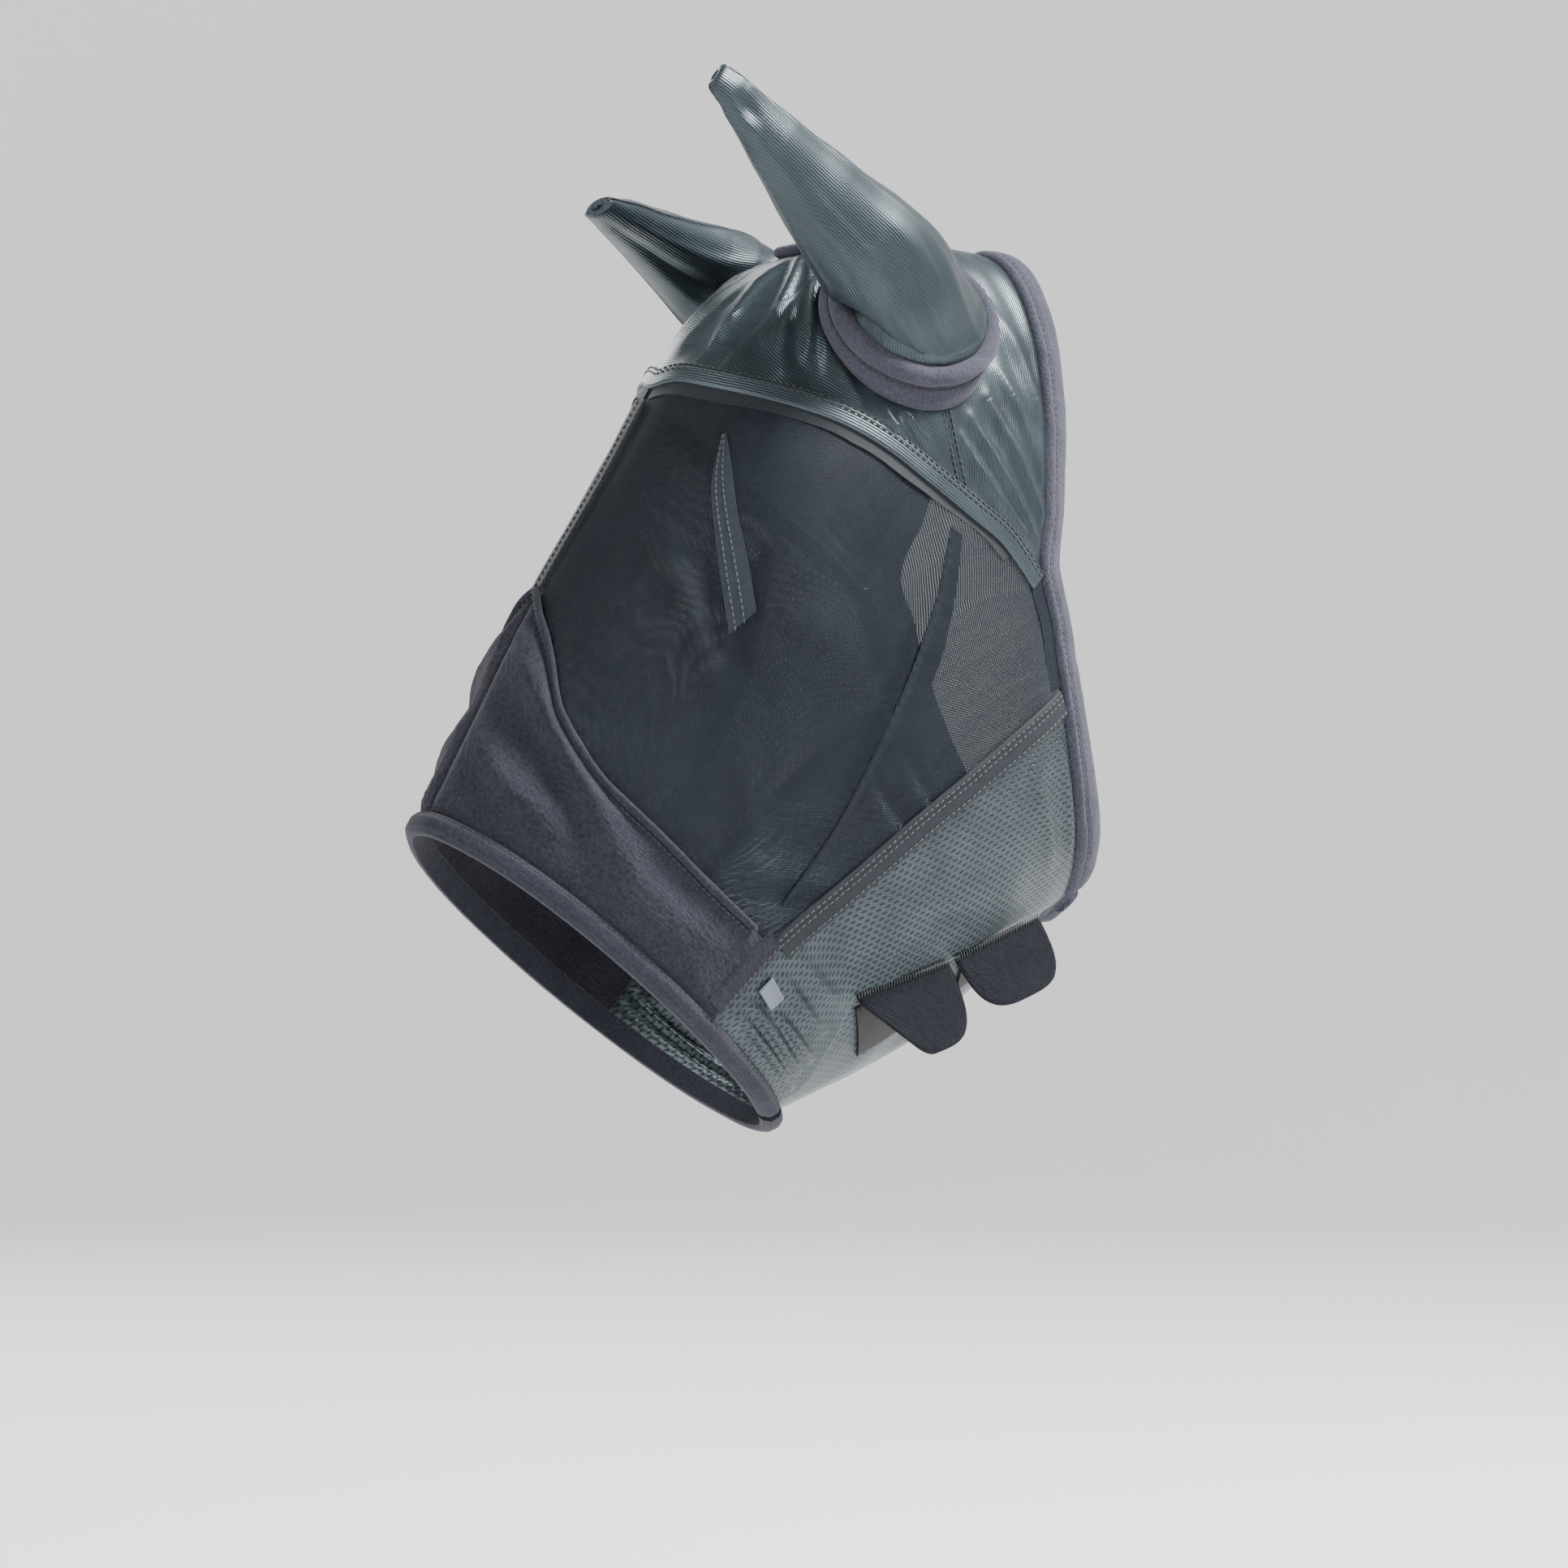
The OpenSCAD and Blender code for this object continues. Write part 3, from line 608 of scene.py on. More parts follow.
def head_line(path, count):
    path = np.array(path, float)
    rows = with_ends(path)
    far = np.linspace(0, len(path) - 1, count)
    i = np.clip(np.floor(far), 0, len(path) - 2).astype(int)
    at = spline(rows[i], rows[i + 1], rows[i + 2], rows[i + 3], (far - i)[:, None])
    return at[:, 0], at[:, 1]


def on_side(ridges, side):
    return [([[p[0], side * p[1]] for p in path], width, height) for path, width, height in ridges]


def raised(points, ridges, strength=1.0, narrow=1.0):
    total = np.zeros(points.shape[:2])
    for path, width, height in ridges:
        line = on_head(*head_line(path, RIDGE_POINTS))
        gaps = length(points[:, :, None] - line[None, None])
        along = gaps.argmin(-1) / (RIDGE_POINTS - 1)
        swell = np.sin(np.pi * mix(0.08, 0.92, along)) ** 0.7
        total += height * MM * np.exp(-((gaps.min(-1) / (narrow * width * MM)) ** 2)) * swell
    return strength * total


def held_at_edges(points, reach, sides=(1, 1, 1, 1)):
    """1 in the middle of a piece, falling to 0 at the chosen edges within `reach` metres."""
    across = np.pad(np.cumsum(length(np.diff(points, axis=1)), axis=1), ((0, 0), (1, 0)))
    along = np.pad(np.cumsum(length(np.diff(points, axis=0)), axis=0), ((1, 0), (0, 0)))
    hold = np.ones(points.shape[:2])
    for use, distance in zip(sides, (across, across[:, -1:] - across, along, along[-1:] - along)):
        if use:
            hold = hold * smooth(distance / reach)
    return hold


def held_by_lines(points, lines, reach):
    """As above, for pieces whose seams turn corners: by the distance to the seam lines."""
    gap = np.full(points.shape[:2], 1.0)
    for line in lines:
        for part in np.array_split(line, max(1, len(line) // 60)):
            gap = np.minimum(gap, length(points[:, :, None] - part[None, None]).min(-1))
    return smooth(gap / reach)


def ripples(points, size, height, seed):
    """Slow uneven waves, the small unrest that all worn cloth has."""
    draw = np.random.default_rng(seed)
    total = np.zeros(points.shape[:-1])
    for _ in range(9):
        total += np.sin(points @ draw.normal(size=3) * 1.6 / size + draw.uniform(0, 6.28)) / 5
    return total * height


def woolly(shape, height, seed):
    """Fine random unevenness, evened out with the neighbours so it reads as pile."""
    bumps = np.random.default_rng(seed).normal(size=shape)
    bumps = (bumps + np.roll(bumps, 1, 0) + np.roll(bumps, -1, 0) + np.roll(bumps, 1, 1)
             + np.roll(bumps, -1, 1)) / 5
    return height * bumps / bumps.std()


def lay_panel(name, u, v, thickness, finish, folds, under=0.0, roll=0.7 * MM, anchor=None):
    """A piece of cloth on the head form; its cut edges dip a little into their seams."""
    flat_points = place(u, v, under)
    normals = outward(u, v)
    lift = folds - (1 - held_at_edges(flat_points, 2.2 * MM)) * roll
    outer = flat_points + (thickness + lift)[..., None] * normals
    inner = flat_points + lift[..., None] * normals
    return closed_cloth(name, outer, inner, finish, anchor=anchor), flat_points


# %% [markdown]
# ## Stitches
# Stitching is what makes the mask look sewn. A stitch could be a bump in the shader, but the
# exported model keeps only shapes, so each stitch is a small real capsule lying on its line,
# and all the stitches of one line are one mesh.

# %% Stitch maker
# length, pitch and radius of a stitch
PLAIN_STITCH = (2.7 * MM, 3.7 * MM, 0.42 * MM)
FINE_STITCH = (2.4 * MM, 3.4 * MM, 0.32 * MM)
# place along a stitch, size and height of each of its rings
STITCH_RINGS = [(-0.5, 0.25, -0.2), (-0.4, 0.9, 0.4), (0, 1.05, 0.75), (0.4, 0.9, 0.4), (0.5, 0.25, -0.2)]
RING_SIDES = 6


def follow(line, steps, at):
    return np.stack([np.interp(at, steps, line[:, k]) for k in range(3)], -1)


def stitch_line(name, path, normals, finish=dark_thread, stitch=PLAIN_STITCH, slant=0.0):
    long, gap, radius = stitch
    steps = np.concatenate([[0], np.cumsum(length(np.diff(path, axis=0)))])
    at = np.arange(gap / 2, steps[-1], gap)
    middle = follow(path, steps, at)
    up = unit(follow(normals, steps, at))
    way = unit(follow(path, steps, at + 0.5 * MM) - follow(path, steps, at - 0.5 * MM))
    way = unit(way * math.cos(slant) + unit(np.cross(up, way)) * math.sin(slant))
    side = np.cross(up, way)
    turn = np.arange(RING_SIDES) * 2 * math.pi / RING_SIDES
    points = np.stack([middle + along * long * way + high * radius * up
                       + size * radius * (math.cos(a) * side + math.sin(a) * up)
                       for along, size, high in STITCH_RINGS for a in turn], 1)
    faces = [[r + a, r + (a + 1) % 6, r + 6 + (a + 1) % 6, r + 6 + a]
             for r in (0, 6, 12, 18) for a in range(6)]
    faces += [list(range(6)), list(range(29, 23, -1))]
    all_faces = [[30 * k + corner for corner in face] for k in range(len(middle)) for face in faces]
    places = np.stack([np.tile(np.repeat([r[0] for r in STITCH_RINGS], 6) * long, len(middle)),
                       np.tile(np.tile(turn, 5) * radius, len(middle))], -1)
    return new_piece(name, points.reshape(-1, 3), all_faces, places, finish)


def row_of(points, share):
    """The line that runs at a share of the way across a tape's grid of points."""
    at = share * (points.shape[1] - 1)
    i = min(points.shape[1] - 2, int(at))
    return mix(points[:, i], points[:, i + 1], at - i)


# %% [markdown]
# ## Tapes and bindings
# A tape is a narrow band along a line, a little rounded at its edges. A binding is a wider
# one whose section is a flattened half round with a groove where it is stitched through. A
# swept curve with a bevel would be shorter, but it would not lie flat on the head form.

# %% Tape and binding makers
def band_section(columns, power):
    x = np.linspace(-1, 1, columns)
    return np.clip(1 - np.abs(x) ** power, 0, 1) ** 0.5


def tape(name, path, width, low, thickness, finish, count, columns, power=8):
    u, v = head_line(path, count)
    lines = [sideways(u, v, offset) for offset in np.linspace(-width / 2, width / 2, columns)]
    u, v = (np.stack(part, 1) for part in zip(*lines))
    outer = place(u, v, low + thickness * (0.25 + 0.75 * band_section(columns, power))[None, :])
    return closed_cloth(name, outer, place(u, v, low), finish), outer, outward(u, v)


def binding(name, u, v, width, finish, grooves, seed, rise=1.0):
    """A fleece binding inward from an edge line, with stitch grooves at shares of its width."""
    shares = np.linspace(0, 1, 17)
    v = v[:, None] * np.ones((1, len(shares)))
    u = towards_nose(u[:, None], v, width * shares[None, :])
    section = (1 - np.abs(2 * shares - 1) ** 3.2) ** 0.5
    lumps = ripples(on_head(u, v), 6 * MM, 0.35 * MM, seed)
    high = rise * BINDING_T * (0.1 + 0.9 * section)[None, :] + lumps * section[None, :]
    for groove in grooves:
        high = high - 1.1 * MM * np.exp(-(((shares - groove) * width / (1.1 * MM)) ** 2))[None, :]
    outer = place(u, v, high)
    return closed_cloth(name, outer, place(u, v, -0.5 * MM), finish), outer, outward(u, v)


def sew(name, cloth, share, column, slot, fasten=dress, **look):
    """A row of stitches along a tape or binding, at a share of the way across it."""
    _, top, up = cloth
    fasten(stitch_line(name, row_of(top, share), up[:, column], **look), slot)


# %% [markdown]
# ## The crown
# Two knit panels meet at a seam that runs from the forelock hole to the ear hole and on to
# the brow band. The front one is gathered round the forelock and the ears, the rear one is
# drawn down in long folds from the ear to the point behind the cheek. The ear and forelock
# holes are simply where the two panels' edges part.

# %% Crown edges
EAR_U, EAR_V, EAR_HOLE_V = 0.28, 0.213, 0.1
FORELOCK_U, FORELOCK_HALF_U, FORELOCK_HALF_V = 0.285, 0.05, 0.066
CROWN_SEAM_U, CROWN_SEAM_V = 0.28, 0.398
EAR_HALF_U = 43 * MM / float(length(along_u(EAR_U, EAR_V)))


def oval(v, middle, half):
    gap = np.abs(np.abs(v) - middle)
    return np.where(gap < half, np.sqrt(np.maximum(0, 1 - (gap / half) ** 2)), 0)


def parting_u(v):
    seam = mix(FORELOCK_U, CROWN_SEAM_U, smooth((np.abs(v) - FORELOCK_HALF_V) / 0.04))
    return np.where(np.abs(v) < FORELOCK_HALF_V, FORELOCK_U, seam)


def parting_reach(v):
    hole, ear = FORELOCK_HALF_U * oval(v, 0, FORELOCK_HALF_V), EAR_HALF_U * oval(v, EAR_V, EAR_HOLE_V)
    return np.maximum(hole, ear) + SEAM / 2 / length(along_u(parting_u(v), v))


def poll_front(v):
    return np.minimum(parting_u(v) - parting_reach(v), seam_at(brow_u, -1)(v))


def brow_back(v):
    return parting_u(v) + parting_reach(v)


def both_sides(vs):
    vs = np.unique(np.round(vs, 6))
    return np.concatenate([-vs[::-1], vs[1:]])


CROWN_VS = np.concatenate([[0], FORELOCK_HALF_V * np.sin(np.linspace(0, math.pi / 2, 12)),
                           np.linspace(FORELOCK_HALF_V, EAR_V - EAR_HOLE_V, 8),
                           EAR_V - EAR_HOLE_V * np.cos(np.linspace(0, math.pi, 37)),
                           np.linspace(0.316, CROWN_SEAM_V, 22)])
REAR_VS = np.concatenate([CROWN_VS, np.linspace(CROWN_SEAM_V, JUNCTION_V - 0.001, 22)])

# %% [markdown]
# ### Ear rims
# The ear collars stand on the crown. Below and behind each ear the collar is farther from the
# head than its own height, and there the crown cloth rises to meet it, as stretch knit does.

# %% Ear rims
RIM_UP = outward(EAR_U, EAR_V)
RIM = place(EAR_U, EAR_V + 0.008, 13 * MM)
RIM_FRONT = unit(along_u(EAR_U, EAR_V) - (along_u(EAR_U, EAR_V) @ RIM_UP) * RIM_UP)
RIM_DOWN = np.cross(RIM_UP, RIM_FRONT)
RIM_ALONG, RIM_ACROSS, COLLAR_DROP, COLLAR_R, COLLAR_TALL = 44 * MM, 39 * MM, 3 * MM, 5.5 * MM, 15 * MM
MIRROR = {1: np.ones(3), -1: np.array([-1, 1, 1])}
FULL_TURN = 2 * math.pi


def round_turn(count):
    return np.linspace(0, FULL_TURN, count + 1)[:-1]


def rim_point(a, grow=0.0, lift=0.0):
    a = a[..., None]
    return (RIM + (RIM_ALONG + grow) * np.cos(a) * RIM_FRONT + (RIM_ACROSS + grow) * np.sin(a) * RIM_DOWN
            + lift * RIM_UP)


def foot_point(a, out=0.0):
    return place(EAR_U + EAR_HALF_U * np.cos(a), EAR_V + EAR_HOLE_V * np.sin(a), out)


gap_turns = np.append(round_turn(72), FULL_TURN)
gaps = (rim_point(round_turn(72), 0, -COLLAR_DROP) - foot_point(round_turn(72))) @ RIM_UP
gaps = np.append(gaps, gaps[0])
print("collar height over the head, mm:", np.round(1000 * gaps[:-1:9]).tolist())


def rise_to_collar(u, v):
    """How far the crown cloth stands off the head near an ear hole."""
    x, y = (u - EAR_U) / EAR_HALF_U, (np.abs(v) - EAR_V) / EAR_HOLE_V
    spare = np.maximum(0, np.interp(np.arctan2(y, x) % FULL_TURN, gap_turns, gaps) - COLLAR_TALL)
    return spare * np.exp(-((np.maximum(0, np.hypot(x, y) - 1) * 40 / 16) ** 2))


# %% [markdown]
# ### Crown panels
# Each list of ridges says where the folds of one panel run, on the left; the right side has
# the same. The seam's two stitch rows rise with the cloth beside the ear.

# %% Crown panels
poll_ridges = [
    ([[0.235, 0.33], [0.2, 0.38], [0.165, 0.43], [0.13, 0.465]], 4.5, 3.2),
    ([[0.262, 0.345], [0.235, 0.385], [0.195, 0.425], [0.15, 0.46]], 3.5, 2.6),
    ([[0.19, 0.31], [0.155, 0.37], [0.13, 0.42], [0.115, 0.455]], 5.5, 3.0),
    ([[0.15, 0.28], [0.12, 0.34], [0.105, 0.4], [0.107, 0.445]], 5.0, 2.2),
    ([[0.31, 0.375], [0.27, 0.4], [0.22, 0.432], [0.17, 0.462]], 3.0, 1.8),
    ([[0.11, 0.2], [0.085, 0.27], [0.075, 0.34], [0.08, 0.4]], 6.0, 1.8),
    ([[0.14, 0.02], [0.15, 0.08], [0.15, 0.14]], 7.0, 2.0),
    ([[0.2, -0.02], [0.21, 0.05], [0.2, 0.1]], 5.0, 1.8)]
brow_ridges = [
    ([[0.345, 0.05], [0.38, 0.09], [0.42, 0.12]], 3.2, 2.8),
    ([[0.335, 0.07], [0.36, 0.12], [0.4, 0.17], [0.43, 0.2]], 3.0, 2.4),
    ([[0.36, 0.03], [0.42, 0.05], [0.48, 0.07]], 4.0, 2.4),
    ([[0.37, 0.16], [0.4, 0.2], [0.42, 0.235]], 3.2, 2.2),
    ([[0.385, 0.2], [0.4, 0.235], [0.4, 0.27]], 3.0, 2.0),
    ([[0.4, 0.13], [0.44, 0.165], [0.46, 0.19]], 2.6, 1.6),
    ([[0.365, 0.27], [0.37, 0.3], [0.355, 0.325]], 2.6, 1.8),
    ([[0.345, 0.3], [0.335, 0.325], [0.32, 0.345]], 2.4, 1.6),
    ([[0.4, -0.01], [0.46, -0.01], [0.52, -0.005]], 4.0, 1.6)]
all_vs = np.linspace(-JUNCTION_V, JUNCTION_V, 241)
seam_vs = np.linspace(0, CROWN_SEAM_V, 121)
crown_seams = [on_head(brow_u(all_vs), all_vs)]
crown_seams += [on_head(parting_u(seam_vs) + k * parting_reach(seam_vs), side * seam_vs)
                for side, _ in SIDES for k in (1, -1)]


def crown_panel(part, vs, start, end, columns, seams, reach, ridges, strength, wave, anchor):
    u, v = cut(both_sides(vs), start, end, columns)
    points = on_head(u, v)
    size, height, seed = wave
    folds = raised(points, ridges + on_side(ridges, -1), strength, 0.9)
    folds += ripples(points, size * MM, height * MM, seed)
    folds = folds * held_by_lines(points, seams, reach * MM) + rise_to_collar(u, v)
    piece, flat = lay_panel(part + "_panel_cloth", u, v, KNIT_T, satin_knit, folds, anchor=anchor)
    dress(piece, "satin_knit", part + "_panel")
    declare_sheet(piece, flat)


crown_panel("poll", REAR_VS, neck_inside, poll_front, 64,
            [on_head(neck_inside(all_vs), all_vs), *crown_seams], 8, poll_ridges, 1.25, (16, 0.8, 3),
            0)
crown_panel("brow", CROWN_VS, brow_back, seam_at(brow_u, -1), 56, crown_seams,
            6, brow_ridges, 1.5, (11, 0.9, 5), None)
for side, word in SIDES:
    seam_v = side * np.linspace(0.318, CROWN_SEAM_V - 0.004, 40)
    for row, offset in enumerate((-2.4, 2.0), 1):
        seam_u = towards_nose(parting_u(seam_v), seam_v, offset * MM)
        at = place(seam_u, seam_v, KNIT_T + rise_to_collar(seam_u, seam_v))
        dress(stitch_line(f"crown_seam_stitches_{word}_{row}", at, outward(seam_u, seam_v)), "satin_knit")
print("crown panels:", flat_sizes)

# %% [markdown]
# ## Brow band
# A doubled strip of the knit covers the seam between crown and mesh. It is sewn down with two
# close rows of stitches along its upper edge.

# %% Brow band
brow_path = [[float(brow_u(a)), a] for a in np.linspace(-JUNCTION_V, JUNCTION_V, 41)]
band = tape("brow_band_cloth", brow_path, 12 * MM, OVER_T, BAND_T, band_knit, 260, 13)
dress(band[0], "satin_knit", "brow_band")
declare_sheet(band[0], band[1])
for row, share in enumerate((0.9, 0.7), 1):
    sew(f"brow_band_stitches_{row}", band, share, 2, "satin_knit")

# %% [markdown]
# ## Forelock binding
# A soft roll round the forelock hole. The same maker draws the nose edging and the ear welts:
# a tube with a slightly uneven radius, since an even one looks like rubber.

# %% Rolls and the forelock binding
def roll(name, middle, up, radius, finish, closed, sides, lumps, seed=1):
    """A soft roll along a line of points, with a slightly uneven radius."""
    count = len(middle)
    if closed:
        way = unit(np.roll(middle, -1, axis=0) - np.roll(middle, 1, axis=0))
    else:
        way = unit(np.gradient(middle, axis=0))
    side = unit(np.cross(way, up))
    high = np.cross(side, way)
    turn = np.linspace(0, FULL_TURN, sides + 1)
    draw = np.random.default_rng(seed)
    k = np.arange(count) / count * FULL_TURN
    uneven = sum(np.sin(k[:, None] * n + turn[None] * (n % 3) + draw.uniform(0, 6.28))
                 for n in (5, 9, 14, 23))
    uneven[:, -1] = uneven[:, 0]
    r = radius + lumps * uneven / 4
    ring = (middle[:, None] + (r * np.cos(turn))[..., None] * side[:, None]
            + (r * np.sin(turn))[..., None] * high[:, None])
    faces = grid_faces(count, sides + 1, 0, closed)
    piece = new_piece(name, ring.reshape(-1, 3), faces, cloth_places(ring).reshape(-1, 2), finish)
    mend(piece.data, lambda work: bmesh.ops.remove_doubles(work, verts=work.verts, dist=1e-6),
         lambda work: bmesh.ops.holes_fill(work, edges=work.edges, sides=sides + 2))
    return piece


hole_turn = round_turn(72)
hole_u, hole_v = FORELOCK_U + FORELOCK_HALF_U * np.cos(hole_turn), FORELOCK_HALF_V * np.sin(hole_turn)
dress(roll("forelock_binding_roll", place(hole_u, hole_v, 3.4 * MM), outward(hole_u, hole_v), 2.9 * MM,
           collar_fleece, True, 14, 0.3 * MM), "fleece_binding", "forelock_binding")

# %% [markdown]
# ## Mesh windows
# One net on each side, from the brow band down to the nose and back to the neck binding. The
# net is stiff enough to stand off the eye: a taped dart by the inner corner lifts it into a
# low dome. Behind the cheek a pleat runs down it, and soft creases fan from the dart.

# %% Mesh windows
NET_LOW, NET_T = 0.3 * MM, 0.45 * MM
mesh_ridges = [
    ([[0.685, 0.19], [0.7, 0.25], [0.72, 0.3], [0.735, 0.345]], 7.0, 2.6),
    ([[0.61, 0.1], [0.64, 0.16], [0.66, 0.22]], 9.0, -1.6),
    ([[0.66, 0.33], [0.68, 0.36], [0.69, 0.4]], 6.0, -2.2),
    ([[0.64, 0.33], [0.6, 0.38], [0.55, 0.43]], 12.0, 2.5),
    (PLEAT_FOLD, 3.2, 2.6),
    ([[0.33, 0.405], [0.39, 0.44], [0.46, 0.48], [0.53, 0.5], [0.64, 0.52]], 7.0, -1.6),
    ([[0.75, 0.42], [0.79, 0.47], [0.83, 0.52]], 8.0, 1.6)]


def window_top(v):
    under_band = np.maximum(seam_at(brow_u, 1)(v), neck_inside(v))
    return np.where(np.abs(v) <= JUNCTION_V, under_band, neck_inside(v))


def mesh_folds(side, points, u, v):
    dome = 4.5 * MM * np.exp(-(((u - 0.575) / 0.085) ** 2) - (((np.abs(v) - 0.345) / 0.1) ** 2))
    return raised(points, on_side(mesh_ridges, side)) + dome


for side, word in SIDES:
    vs = side * np.concatenate([np.linspace(0.0004, 0.44, 76), np.linspace(0.446, JUNCTION_V, 8),
                                np.linspace(0.486, JAW_V - 0.0004, 26)])
    u, v = cut(vs, window_top, seam_at(nose_u, -1), 76)
    points = on_head(u, v)
    folds = mesh_folds(side, points, u, v) + ripples(points, 30 * MM, 1.2 * MM, 11)
    folds = folds * held_at_edges(points, 12 * MM)
    net, flat = lay_panel(f"mesh_window_{word}", u, v, NET_T, eye_mesh, folds, under=NET_LOW, roll=0.3 * MM)
    dress(net, "eye_mesh", f"mesh_{word}")
    declare_sheet(net, flat)
print("mesh window flat size, mm and cm2:", flat_sizes["mesh_window_left"])

# %% [markdown]
# ### Facings, pleat and dart
# The net is doubled along the brow band, along the neck edge and behind the cheek pleat,
# which shows as darker strips. They are separate strips lying on it: the same net at the neck
# edge and the pleat, and seam tape along the brow band. The dart is taped and stitched through.

# %% Facings and dart
NET_TOP = NET_LOW + NET_T


def strip(name, start_path, end_path, lift, finish, side, slot, nodes=(), count=120, columns=9,
          thickness=0.5 * MM):
    """A strip of cloth on the net between two lines of places."""
    ends = zip(head_line(start_path, count), head_line(end_path, count))
    u, v = (mix(a[:, None], b[:, None], np.linspace(0, 1, columns)[None]) for a, b in ends)
    v = side * v
    low = mesh_folds(side, on_head(u, v), u, v) + NET_TOP + lift
    outer = place(u, v, low + thickness)
    piece = closed_cloth(name, outer, place(u, v, low), finish)
    dress(piece, slot, *nodes)
    declare_sheet(piece, outer)
    return piece, outer, outward(u, v)


def beside(line, vs, distance):
    return [[float(towards_nose(line(a), a, distance)), a] for a in vs]


brow_vs, neck_vs = np.linspace(0.004, 0.455, 30), np.linspace(JUNCTION_V - 0.001, 0.58, 20)
for side, word in SIDES:
    strip(f"brow_facing_{word}", beside(brow_u, brow_vs, 4 * MM), beside(brow_u, brow_vs, 13 * MM), 0,
          seam_tape, side, "mesh_tape")
    strip(f"neck_facing_{word}", [[float(neck_inside(a)) - 0.003, a] for a in neck_vs],
          beside(neck_inside, neck_vs, 10 * MM), 0, double_mesh, side, "mesh_tape", count=60)
    strip(f"cheek_pleat_{word}", PLEAT_FOLD, PLEAT_BACK, 0.2 * MM, double_mesh, side, "eye_mesh")
    dart = strip(f"eye_dart_{word}", DART_FOLD, DART_BACK, 0.1 * MM, dart_tape, side, "mesh_tape",
                 [f"eye_dart_tape_{word}"], 80, 13, 1.2 * MM)
    for row, share in enumerate((0.22, 0.55), 1):
        sew(f"eye_dart_stitches_{word}_{row}", dart, share, 6, "mesh_tape",
            finish=grey_thread, stitch=FINE_STITCH)

# %% [markdown]
# ## Centre seam and jaw tapes
# A narrow tape covers the seam down the nose bridge. A straight dark tape, with three rows of
# stitches, covers the seam between the mesh and the jaw panel on each side.

# %% Centre seam and jaw tapes
centre_path = [[a, 0.0] for a in np.linspace(0.57, 0.795, 12)]
cloth = tape("centre_seam_cover", centre_path, 9 * MM, OVER_T, BAND_T, seam_tape, 90, 9)
dress(cloth[0], "mesh_tape", "centre_seam_tape")
declare_sheet(cloth[0], cloth[1])
for row, share in enumerate((0.15, 0.85), 1):
    sew(f"centre_seam_stitches_{row}", cloth, share, 4, "mesh_tape")

jaw_us = np.linspace(float(neck_inside(JAW_V - 0.035)), float(nose_u(JAW_V)) - 0.008, 24)
for side, word in SIDES:
    path = [[a, side * float(jaw_at(a))] for a in jaw_us]
    cloth = tape(f"jaw_seam_tape_{word}", path, 15 * MM, OVER_T, BAND_T, seam_tape, 160, 13)
    dress(cloth[0], "mesh_tape", f"jaw_tape_{word}")
    declare_sheet(cloth[0], cloth[1])
    for row, share in enumerate((0.16, 0.36, 0.82), 1):
        sew(f"jaw_tape_stitches_{word}_{row}", cloth, share, 6, "mesh_tape", finish=grey_thread,
            stitch=(2.7 * MM, 3.7 * MM, 0.36 * MM))

# %% [markdown]
# ## The fleece nose
# Two fleece panels meet on the nose. Fleece is thick and soft, so its folds are broad and it
# bulges a little between the stitched edging above and the heavy binding below. Its skin gets
# a fine unevenness as real shape, so that the outline is woolly too.

# %% Nose panels
nose_ridges = [
    ([[0.87, 0.07], [0.885, 0.16], [0.915, 0.27], [0.935, 0.36]], 10.0, 3.4),
    ([[0.93, 0.06], [0.955, 0.16], [0.965, 0.27]], 8.0, 3.0),
    ([[0.9, 0.1], [0.92, 0.2], [0.945, 0.3]], 7.0, -2.2),
    ([[0.93, 0.3], [0.945, 0.38], [0.945, 0.46], [0.93, 0.53]], 8.0, 2.8),
    ([[0.965, 0.34], [0.97, 0.43], [0.96, 0.52]], 7.0, 2.2),
    ([[0.84, 0.02], [0.86, 0.09], [0.885, 0.15]], 6.0, 2.0)]
for side, word in SIDES:
    u, v = cut(side * np.linspace(0.0004, JAW_V - 0.0006, 190), seam_at(nose_u, 1), nose_inside, 110)
    points = on_head(u, v)
    folds = raised(points, on_side(nose_ridges, side), 1.5)
    folds = folds + ripples(points, 24 * MM, 1.0 * MM, 21) + 1.4 * MM
    folds = folds * held_at_edges(points, 9 * MM) + woolly(u.shape, 0.12 * MM, 5)
    piece, flat = lay_panel(f"nose_fleece_{word}", u, v, FLEECE_T - 0.4 * MM, nose_fleece, folds,
                            roll=1.0 * MM)
    dress(piece, "fleece", f"nose_panel_{word}")
    declare_sheet(piece, flat)

# %% [markdown]
# ### Nose edging and end strips
# The fleece's upper edge is folded into a thin roll with its stitch line under it, and its
# rear end is covered by a short strip.

# %% Nose edging and end strips
edge_vs = np.linspace(-(JAW_V - 0.05), JAW_V - 0.05, 330)
edge_u = nose_u(edge_vs)
edge = place(edge_u, edge_vs, FLEECE_T + 0.9 * MM)
dress(roll("nose_edging_roll", edge, outward(edge_u, edge_vs), 2.0 * MM, nose_fleece, False, 14, 0.25 * MM),
      "fleece_binding", "nose_edging")
edge_u = towards_nose(edge_u, edge_vs, 3.6 * MM)
edge = place(edge_u, edge_vs, FLEECE_T + 0.2 * MM)
dress(stitch_line("nose_edging_stitches", edge, outward(edge_u, edge_vs)), "fleece_binding")

end_us = np.linspace(float(nose_u(JAW_V)) - 0.006, 0.985, 12)
for side, word in SIDES:
    path = [[a, side * (float(jaw_at(a)) - 0.017)] for a in end_us]
    cloth = tape(f"nose_end_cover_{word}", path, 12 * MM, FLEECE_T + 0.4 * MM, FLEECE_T, nose_fleece,
                 70, 13, 3)
    dress(cloth[0], "fleece_binding", f"nose_end_strip_{word}")
    declare_sheet(cloth[0], cloth[1])
    sew(f"nose_end_stitches_{word}", cloth, 0.8, 6, "fleece_binding")

# %% [markdown]
# ## Bindings
# Rolled fleece finishes both openings. On the horse's left each binding is in two lengths
# that meet at the jaw seam, because the part on the jaw panel swings open with it.

